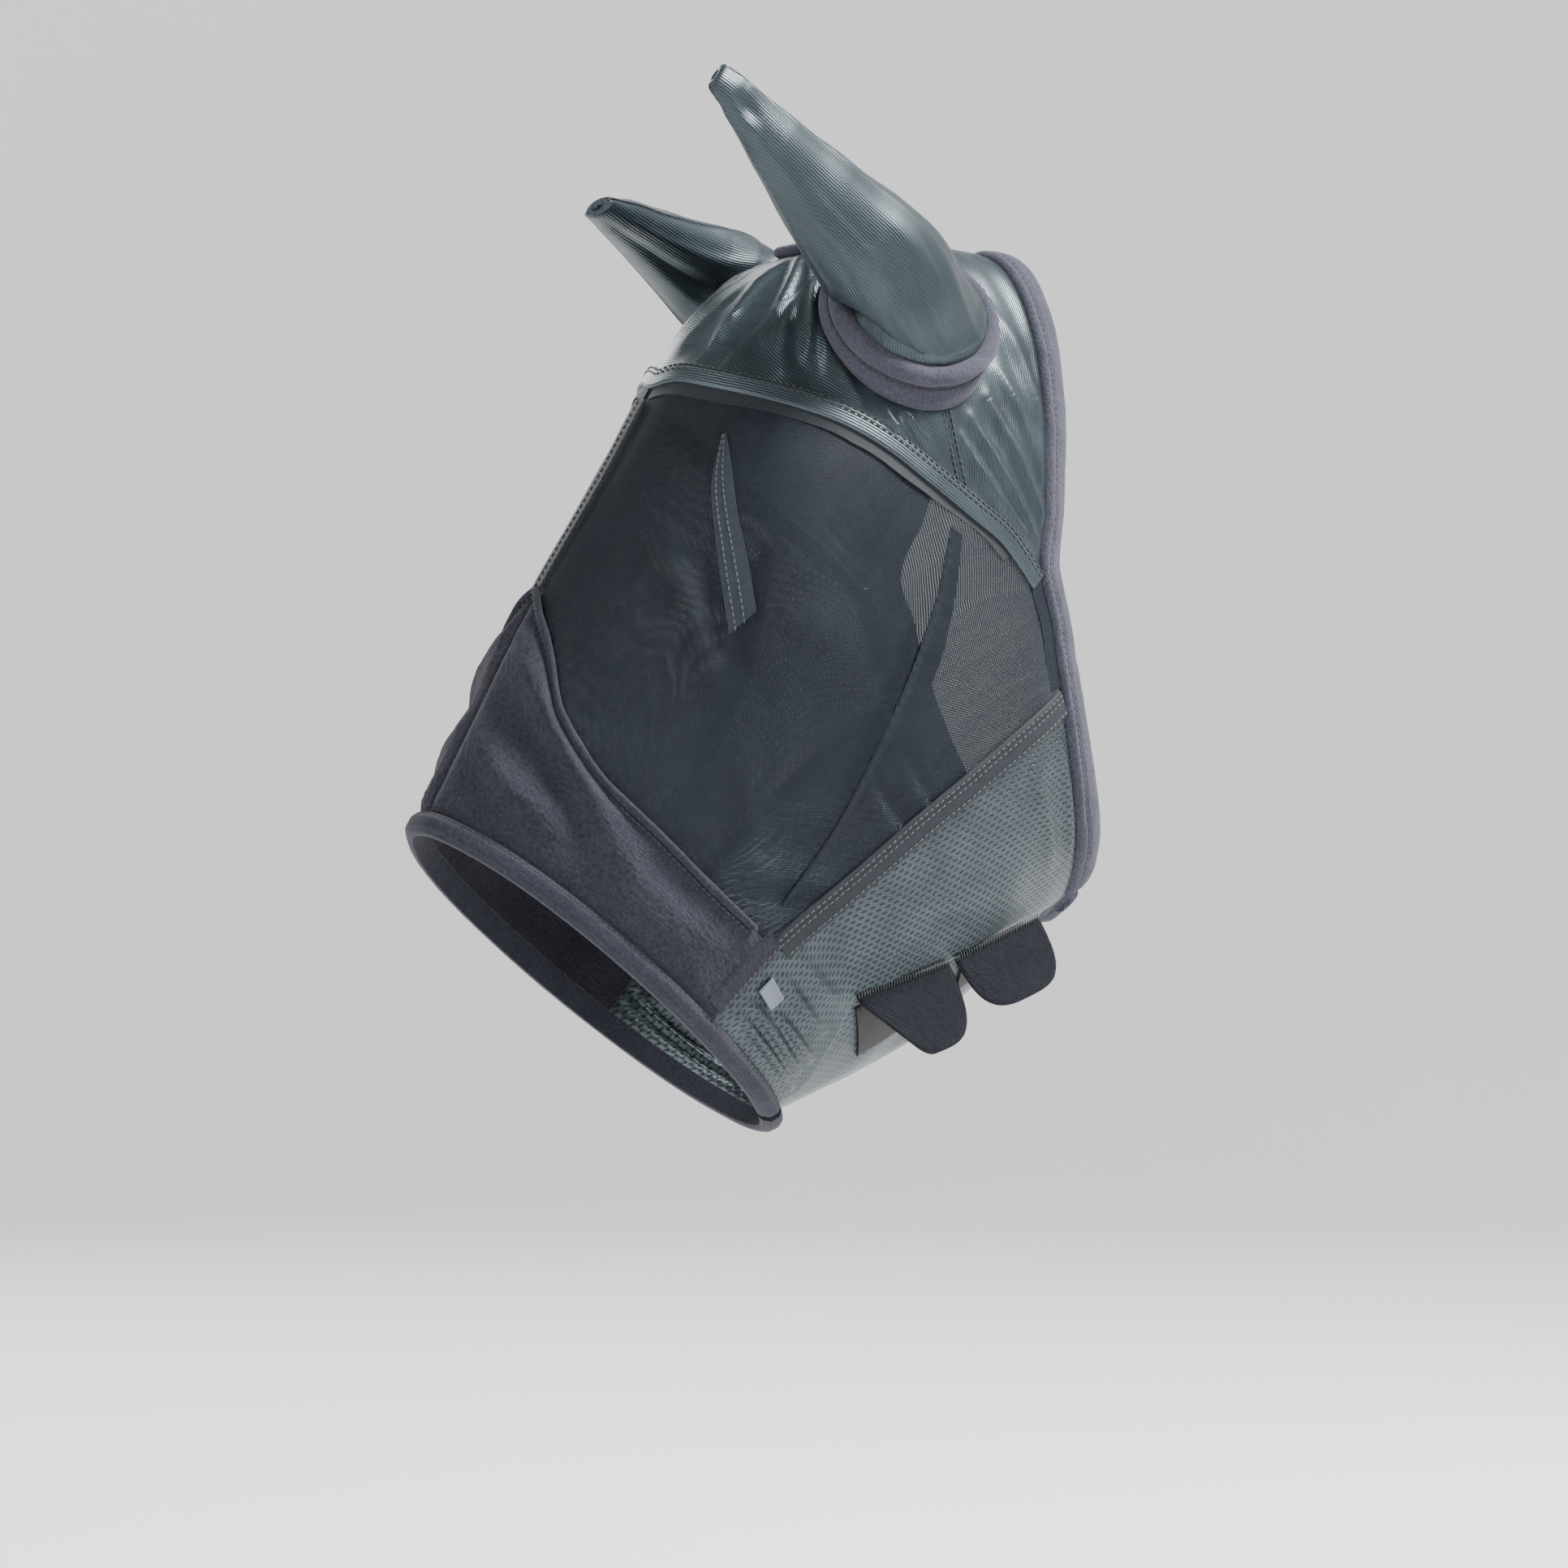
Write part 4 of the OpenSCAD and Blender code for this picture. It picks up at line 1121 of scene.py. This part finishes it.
# %% Bindings
def one(v):
    return np.ones(len(v))


# edge line, width, finish, grooves and rise; share and column of the stitches
nose_kind = (one, NOSE_W, lower_fleece, (0.14, 0.86), 1.12, 0.14, 2)
neck_kind = (neck_u, NECK_W, binding_fleece, (0.7,), 1.0, 0.7, 8)
for name, stitches, node, vs, kind, seed, fasten, rests_on in (
        ("nose_binding_roll", "nose_binding_stitches", "nose_binding", np.linspace(-1.13, JAW_V, 430),
         nose_kind, 31, dress, "nose_fleece_left"),
        ("nose_binding_roll_flap", "nose_flap_stitches", "nose_binding_flap",
         np.linspace(JAW_V, CORNER_V, 70), nose_kind, 32, hang_from_jaw, "jaw_panel_left"),
        ("neck_binding_roll", "neck_binding_stitches", "neck_binding", np.linspace(-1.09, JAW_V, 460),
         neck_kind, 33, dress, "poll_panel_cloth"),
        ("neck_binding_roll_flap", "neck_flap_stitches", "neck_binding_flap",
         np.linspace(JAW_V, NECK_END_V, 80), neck_kind, 34, hang_from_jaw, "jaw_panel_left")):
    edge, width, finish, grooves, rise, share, column = kind
    cloth = binding(name, edge(vs), vs, width, finish, grooves, seed, rise)
    fasten(cloth[0], "fleece_binding", node)
    declare_sheet(cloth[0], cloth[1])
    sew(stitches, cloth, share, column, "fleece_binding", fasten)

# %% [markdown]
# ## Jaw panels
# The left panel hangs from the jaw seam to its closing edge and carries the tabs. The right
# one is longer and wraps under the jaw, inside the left one. Near the nose the left panel is
# pulled into bright upright folds by the closing tabs.

# %% Jaw panels
UNDERLAP = 4 * MM
jaw_ridges = [
    ([[0.937, 0.635], [0.932, 0.7], [0.922, 0.79]], 3.2, 2.8),
    ([[0.965, 0.63], [0.962, 0.71], [0.955, 0.82]], 3.0, 2.4),
    ([[0.905, 0.68], [0.895, 0.73], [0.88, 0.785]], 3.0, 2.6),
    ([[0.865, 0.64], [0.855, 0.69], [0.835, 0.75]], 3.8, 2.2),
    ([[0.82, 0.635], [0.8, 0.68], [0.77, 0.725]], 4.5, 1.8),
    ([[0.2, 0.64], [0.16, 0.7], [0.12, 0.76]], 6.0, 1.8),
    ([[0.13, 0.63], [0.09, 0.7], [0.06, 0.78]], 5.0, 2.0),
    ([[0.6, 0.66], [0.5, 0.7], [0.4, 0.73]], 8.0, 1.4)]


def closing_v(share):
    return value_at(CLOSING_EDGE, share)


def wrapped_v(share):
    return value_at(WRAPPED_EDGE, share)


def jaw_panel(side, word, far_edge, past, rows, columns, wave, seed, fasten):
    share, down = np.meshgrid(np.linspace(0, 1, rows), np.linspace(0, 1, columns), indexing="ij")
    w = side * mix(JAW_V, far_edge(share) + past, down)
    v = w + side * (jaw_at(mix(neck_inside(w), nose_inside(w), share)) - JAW_V) * (1 - down)
    u = mix(neck_inside(v), nose_inside(v), share)
    points = on_head(u, v)
    folds = raised(points, on_side(jaw_ridges, side), 1.5, 0.85) + ripples(points, wave, 0.7 * MM, seed)
    tuck = -UNDERLAP * smooth((np.abs(v) - 0.94) / 0.1)
    folds = folds * held_at_edges(points, 7 * MM, (1, 0, 1, 1)) + tuck
    piece, flat = lay_panel(f"jaw_panel_cloth_{word}", u, v, KNIT_T, dimple_knit, folds, roll=0.4 * MM)
    fasten(piece, "dimple_knit", f"jaw_panel_{word}")
    declare_sheet(piece, flat)


jaw_panel(1, "left", closing_v, 0.012, 210, 70, 15 * MM, 41, hang_from_jaw)
jaw_panel(-1, "right", wrapped_v, 0, 200, 120, 17 * MM, 43, dress)
print("jaw panels:", flat_sizes["jaw_panel_cloth_left"], flat_sizes["jaw_panel_cloth_right"])

# %% [markdown]
# ## Hook pads
# Two hook pads are sewn on the wrapped end of the right panel, where the tabs press on them.
# They are laid panels with rounded rims, since a pad is cut from flat tape.

# %% Hook pads
for name, low_u, high_u in (("front", 0.5, 0.72), ("rear", 0.16, 0.38)):
    u, v = np.meshgrid(np.linspace(low_u, high_u, 60), np.linspace(-1.24, -1.13, 30), indexing="ij")
    outer = place(u, v, KNIT_T - UNDERLAP + (0.5 + 1.1 * band_section(30, 14)[None]) * MM)
    piece = closed_cloth(f"hook_pad_{name}", outer, place(u, v, KNIT_T - UNDERLAP + 0.3 * MM), hook_pad)
    dress(piece, "hook_pad", f"hook_patch_{name}")
    declare_sheet(piece, outer)

# %% [markdown]
# ## Closing tabs
# The tabs that press onto the hook pads are D-shaped, fuzzy on both sides, and overlocked to
# the left panel's closing edge. They could be stiff plates on a hinge line, and a sewn tab bends
# just below its stitches; here each tab is a thin cloth with a slight curl, tilted by a set angle.

# %% Closing tabs
TAB_LENGTH, TAB_T, TAB_STAND_OFF = 58 * MM, 2.0 * MM, math.radians(20)


def tab_start(share):
    edge_v = float(closing_v(share)) + 0.008
    return place(mix(float(neck_inside(edge_v)), float(nose_inside(edge_v)), share), edge_v, KNIT_T + 1 * MM)


def make_tab(word, start, end, turn, drop, slanted):
    corner, body = tab_start(start), f"tab_{word}"
    way = unit(tab_start(end) - corner + turn)
    out = unit(np.cross(way, [0, 0, 1]))
    face = unit(math.cos(TAB_STAND_OFF) * out + math.sin(TAB_STAND_OFF) * np.cross(out, way))
    down = np.cross(way, face)
    s = 0.5 - 0.5 * np.cos(np.linspace(0, math.pi, 90))
    reach = drop * np.maximum(0.02, 1 - np.abs(2 * s - 1) ** 3.2) ** 0.31
    if slanted:
        reach = np.minimum(reach, drop * (0.1 + 2.3 * s))
        reach = np.convolve(np.pad(reach, 4, "edge"), np.ones(9) / 9, "valid")
    s, reach, t = s[:, None], reach[:, None], np.linspace(0, 1, 60)[None]
    x, y = TAB_LENGTH * s * np.ones_like(t), reach * t
    curl = 2.2 * MM * np.sin(math.pi * s) * t**2 - 1.2 * MM * t**3 * (s - 0.5)
    edge = smooth(np.minimum(np.minimum(s, 1 - s) * TAB_LENGTH / (2.5 * MM), (reach - y) / (2.5 * MM)))
    half = TAB_T / 2 * (0.35 + 0.65 * edge)
    middle = corner + x[..., None] * way + y[..., None] * down + (curl - TAB_T / 2)[..., None] * face
    outer = middle + (half + woolly(x.shape, 0.1 * MM, 51))[..., None] * face
    name = f"closing_tab_{word}"
    piece = closed_cloth(name, outer, middle - half[..., None] * face, loop_pile)
    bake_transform(piece)
    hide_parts(f"closure_tab_{word}")
    declare_sheet(piece, middle, flat=(TAB_LENGTH, drop))
    line = corner + (np.linspace(0, 1, 60) * TAB_LENGTH)[:, None] * way + 0.4 * MM * face
    stitch = stitch_line(name + "_overlock", line, np.repeat(face[None], 60, 0),
                         stitch=(3.6 * MM, 1.7 * MM, 0.42 * MM), slant=1.25)
    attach(stitch, "jaw_flap")


make_tab("front", 0.7, 0.46, np.zeros(3), 42 * MM, True)
make_tab("rear", 0.4, 0.14, np.array([4 * MM, 0, 0]), 35 * MM, False)

# %% [markdown]
# ## Label
# A small plain woven tag by the nose. Its only pattern is a woven border and it carries no
# mark of any kind. It is a thin closed cloth, because a flat card would not follow the panel.

# %% Label
LABEL_TOP, LABEL_LOW = 2.8 * MM, 2.0 * MM
u, v = np.meshgrid(np.linspace(0.882, 0.915, 24), np.linspace(0.625, 0.66, 24), indexing="ij")
square = np.abs(np.linspace(-1, 1, 24))
square = np.maximum(square[:, None], square[None])
border = 0.25 * MM * (smooth((square - 0.78) / 0.05) - 2 * smooth((square - 0.95) / 0.05))
piece = closed_cloth("side_label_cloth", place(u, v, LABEL_TOP + border), place(u, v, LABEL_LOW), label_cloth)
hang_from_jaw(piece, "label", "side_label")
declare_sheet(piece, place(u, v, LABEL_TOP))

# %% [markdown]
# ## Ear welts
# Each ear hole is finished by a padded fleece roll, with a second flat welt below it that
# reaches down to the crown.

# %% Ear welts
for side, word in SIDES:
    mirror, count = MIRROR[side], 150
    a = round_turn(count)
    turned = a * side
    up = np.repeat(RIM_UP[None], count, 0) * mirror
    dress(roll(f"ear_welt_{word}", rim_point(turned, 0, -COLLAR_DROP) * mirror, up, COLLAR_R, collar_fleece,
               True, 20, 0.35 * MM, 61), "fleece_binding", f"ear_collar_{word}")
    foot_out = np.maximum(OVER_T, np.interp(a, gap_turns, gaps) - COLLAR_TALL + OVER_T)
    low, high = foot_point(a, foot_out), rim_point(a, 0, -COLLAR_DROP - 3.5 * MM)
    away = unit(rim_point(a, 9 * MM) - rim_point(a))
    t = np.linspace(0, 1, 14)
    bulge = (2.6 * MM * np.sin(math.pi * np.clip(t * 1.15, 0, 1)) ** 0.6 + 2.2 * MM)[None, :, None]
    middle = mix(low[:, None] - 1.4 * MM * RIM_UP, high[:, None], t[None, :, None])
    outer, inner = (middle + bulge * away[:, None]) * mirror, (middle - 0.8 * MM * away[:, None]) * mirror
    band = closed_cloth(f"ear_lower_welt_{word}", outer, inner, collar_fleece, wrap=True)
    dress(band, "fleece_binding", f"ear_base_band_{word}")
    declare_sheet(band, outer)
    line = (middle[:, 11] + 4.0 * MM * away) * mirror
    dress(stitch_line(f"ear_welt_stitches_{word}", line, away * mirror, stitch=FINE_STITCH), "fleece_binding")

# %% [markdown]
# ## Ear covers
# Each ear cover is two knit halves seamed along the front and back edges, with its foot sewn
# inside the welt. On the horse the cover follows the ear when it turns, while its foot stays sewn
# to the welt; here each cover is laid in one pose, tied to no body, with a short neck of cloth
# from its first ring down to the welt.

# %% Ear covers
EAR_BASE_R, EAR_LIFT, EAR_BOW = 36 * MM, 7 * MM, 9 * MM
EAR_ACROSS = [[0, 1], [0.15, 0.97], [0.3, 0.88], [0.5, 0.72], [0.75, 0.49], [0.92, 0.34], [1, 0.24]]
EAR_THROUGH = [[0, 0.93], [0.15, 0.83], [0.3, 0.68], [0.5, 0.53], [0.75, 0.35], [0.92, 0.22], [1, 0.13]]
FORWARD = np.array([-0.5, -0.866, 0])
# folds as place along and round the ear, in degrees, their two widths and their height
ear_ridges = {"outer": [(0.12, 75, 0.12, 14, 3.2), (0.22, 105, 0.16, 12, 2.4), (0.1, 125, 0.1, 9, 2.0),
                        (0.5, 45, 0.35, 9, 1.6), (0.55, 130, 0.4, 10, 1.6), (0.9, 70, 0.05, 25, -2.4),
                        (0.86, 40, 0.04, 20, 1.6), (0.3, 60, 0.3, 7, 1.4)],
              "inner": [(0.2, 250, 0.2, 16, -3.0), (0.5, 280, 0.35, 14, -4.0), (0.3, 300, 0.2, 9, 1.6),
                        (0.6, 240, 0.3, 10, 1.6)]}


def ear_ring(tip, lean, t, a, inset=0.0):
    """Points round an ear cover at t from foot to tip, for angles a."""
    foot, point = RIM + EAR_LIFT * RIM_UP, RIM + tip
    bend = foot + 0.37 * np.linalg.norm(tip) * unit(RIM_UP + lean * unit(tip))
    middle = (1 - t) ** 2 * foot + 2 * t * (1 - t) * bend + t * t * point
    middle = middle + EAR_BOW * math.sin(math.pi * min(1, t * 1.05)) ** 0.8 * (lean > 1) * FORWARD
    along = unit((1 - t) * (bend - foot) + t * (point - bend))
    way = unit(mix(RIM_UP, along, float(smooth(t / 0.35))))
    side = unit(RIM_FRONT - (RIM_FRONT @ way) * way)
    wide = EAR_BASE_R * float(value_at(EAR_ACROSS, t)) - inset
    deep = EAR_BASE_R * float(value_at(EAR_THROUGH, t)) - inset
    return (middle + np.maximum(wide, 0.5 * MM) * np.cos(a)[:, None] * side
            + np.maximum(deep, 0.4 * MM) * np.sin(a)[:, None] * np.cross(way, side))


def close_tip(rows, tip, inset):
    """The last ring is gathered to the ear's tip and turned a little inward."""
    last, centre = rows[-1], RIM + tip
    away = unit((last - rows[-4]).mean(0))
    caps = [centre + size * (last - centre) + (rise * MM - inset) * away
            for size, rise in ((0.9, 1.6), (0.7, 2.6), (0.45, 2.4), (0.2, 1.2), (0.03, 0.4))]
    return np.concatenate([rows, np.stack(caps)])


def ear_cover(side, word, half, start, tip, lean):
    a = np.radians(start + np.linspace(-0.4, 180.4, 60))
    ts = np.linspace(0, 1, 120)
    outer, inner = (np.stack([ear_ring(tip, lean, t, a, inset) for t in ts]) for inset in (0, KNIT_T))
    way, degrees = unit(outer - inner), np.degrees(a)[None]
    lift = np.zeros(outer.shape[:2])
    for t0, a0, t_wide, a_wide, height in ear_ridges[half]:
        lift += height * MM * np.exp(-(((ts[:, None] - t0) / t_wide) ** 2) - (((degrees - a0) / a_wide) ** 2))
    lift *= smooth(np.sin(a - math.radians(start)) * 4)[None] * smooth((1 - ts) * 12)[:, None]
    seam = 0.9 * MM * np.exp(-((np.minimum(degrees - start, start + 180 - degrees) / 2.5) ** 2))
    lift = (lift + seam * smooth(ts * 8)[:, None] + ripples(outer, 14 * MM, 0.7 * MM, 71))[..., None] * way
    socket = rim_point(a, -1.5 * MM, -COLLAR_DROP)
    neck = [smooth(s) * 0.85 + 0.15 * s for s in np.linspace(0, 1, 10)[:-1]]
    skins = []
    for skin, inset, root in ((outer, 0, socket), (inner, KNIT_T, socket - 0.8 * MM * unit(socket - RIM))):
        foot = np.stack([mix(root, skin[0], s) for s in neck])
        skins.append(close_tip(np.concatenate([foot, skin + lift]), tip, inset) * MIRROR[side])
    piece = closed_cloth(f"ear_cloth_{half}_{word}", *skins, satin_knit)
    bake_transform(piece)
    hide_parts(f"ear_cover_{half}_{word}")
    declare_sheet(piece, skins[0])


for side, word, tip, lean in ((1, "left", [14, -124, 110], 6.0), (-1, "right", [-26, -117, 58], 0.3)):
    for half, start in (("outer", 0), ("inner", 180)):
        ear_cover(side, word, half, start, np.array(tip) * MM, lean)
print("ear covers:", flat_sizes["ear_cloth_outer_left"], flat_sizes["ear_cloth_outer_right"])

# %% [markdown]
# ## Studio
# A pale round floor that curves up into a wall on all sides, and four soft lamps. A plain
# plane would show its edge from some sides, and the bowl never does.

# %% Floor and lamps
FLOOR_Z, FLOOR_R, CURVE_R, WALL_TOP, FLOOR_SIDES = -0.75, 3.2, 1.8, 5.5, 96
LAMPS_AIM = Vector((0, -0.12, -0.25))


def studio_bowl():
    profile = [(0.0, 0.0), (FLOOR_R, 0.0)]
    profile += [(FLOOR_R + CURVE_R * math.sin(a), CURVE_R - CURVE_R * math.cos(a))
                for a in np.linspace(0, math.pi / 2, 16)[1:]]
    profile += [(FLOOR_R + CURVE_R, WALL_TOP)]
    points = np.array([[[r * math.cos(a), r * math.sin(a), FLOOR_Z + z] for r, z in profile]
                       for a in round_turn(FLOOR_SIDES)])
    f = Finish("studio_floor", 0.9, specular=0.1)
    f.paint(f.cloud(0.4, 2.0), (0.88, 0.88, 0.885), (0.91, 0.91, 0.91))
    faces = grid_faces(FLOOR_SIDES, len(profile), 0, True)
    return new_piece("studio_floor", points.reshape(-1, 3), faces, np.zeros((points.size // 3, 2)), f)


def put(name, data, spot, way):
    """An object at a spot that looks along a way."""
    holder = bpy.data.objects.new(name, data)
    bpy.context.collection.objects.link(holder)
    holder.location = spot
    holder.rotation_mode = "QUATERNION"
    holder.rotation_quaternion = way.to_track_quat("-Z", "Y")
    return holder


studio_bowl()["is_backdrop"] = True
for name, spot, size, power in (("key_lamp", (1.05, 1.25, 2.1), (0.65, 0.65), 280),
                                ("front_lamp", (0.4, -2.3, 1.2), (0.8, 0.8), 22),
                                ("side_lamp", (2.9, -0.9, 0.3), (0.7, 1.6), 9),
                                ("far_lamp", (-2.4, -0.2, 1.1), (1.4, 1.4), 34)):
    light = bpy.data.lights.new(name, "AREA")
    light.shape, light.size, light.size_y = "RECTANGLE", size[0], size[1]
    light.energy = power
    put(name, light, spot, LAMPS_AIM - Vector(spot)).visible_camera = False
world = bpy.data.worlds.new("studio_air")
bpy.context.scene.world = world
world.use_nodes = True
world.node_tree.nodes["Background"].inputs[0].default_value = (1, 1, 1, 1)
world.node_tree.nodes["Background"].inputs[1].default_value = 0.2

# %% [markdown]
# ## Camera
# Level with the mask and turned sixty degrees round to the horse's left, from three metres
# away with a long lens, as a product shot is taken.

# %% Camera
TURN, DISTANCE = math.radians(60), 3.0
camera = bpy.data.cameras.new("camera")
camera.sensor_width, camera.lens = 36, 133
back = Vector((math.sin(TURN), -math.cos(TURN), 0))
bpy.context.scene.camera = put("camera", camera, Vector((0, -0.116, -0.2775)) + back * DISTANCE, -back)

# %% [markdown]
# ## Hand over
# The box round everything shown, the studio left out, is worked out, and the cut sizes of the
# sheets are printed. Then the frame takes over.

# %% Hand over
low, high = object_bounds()
print("flat sizes, mm mm cm2:", json.dumps(flat_sizes))
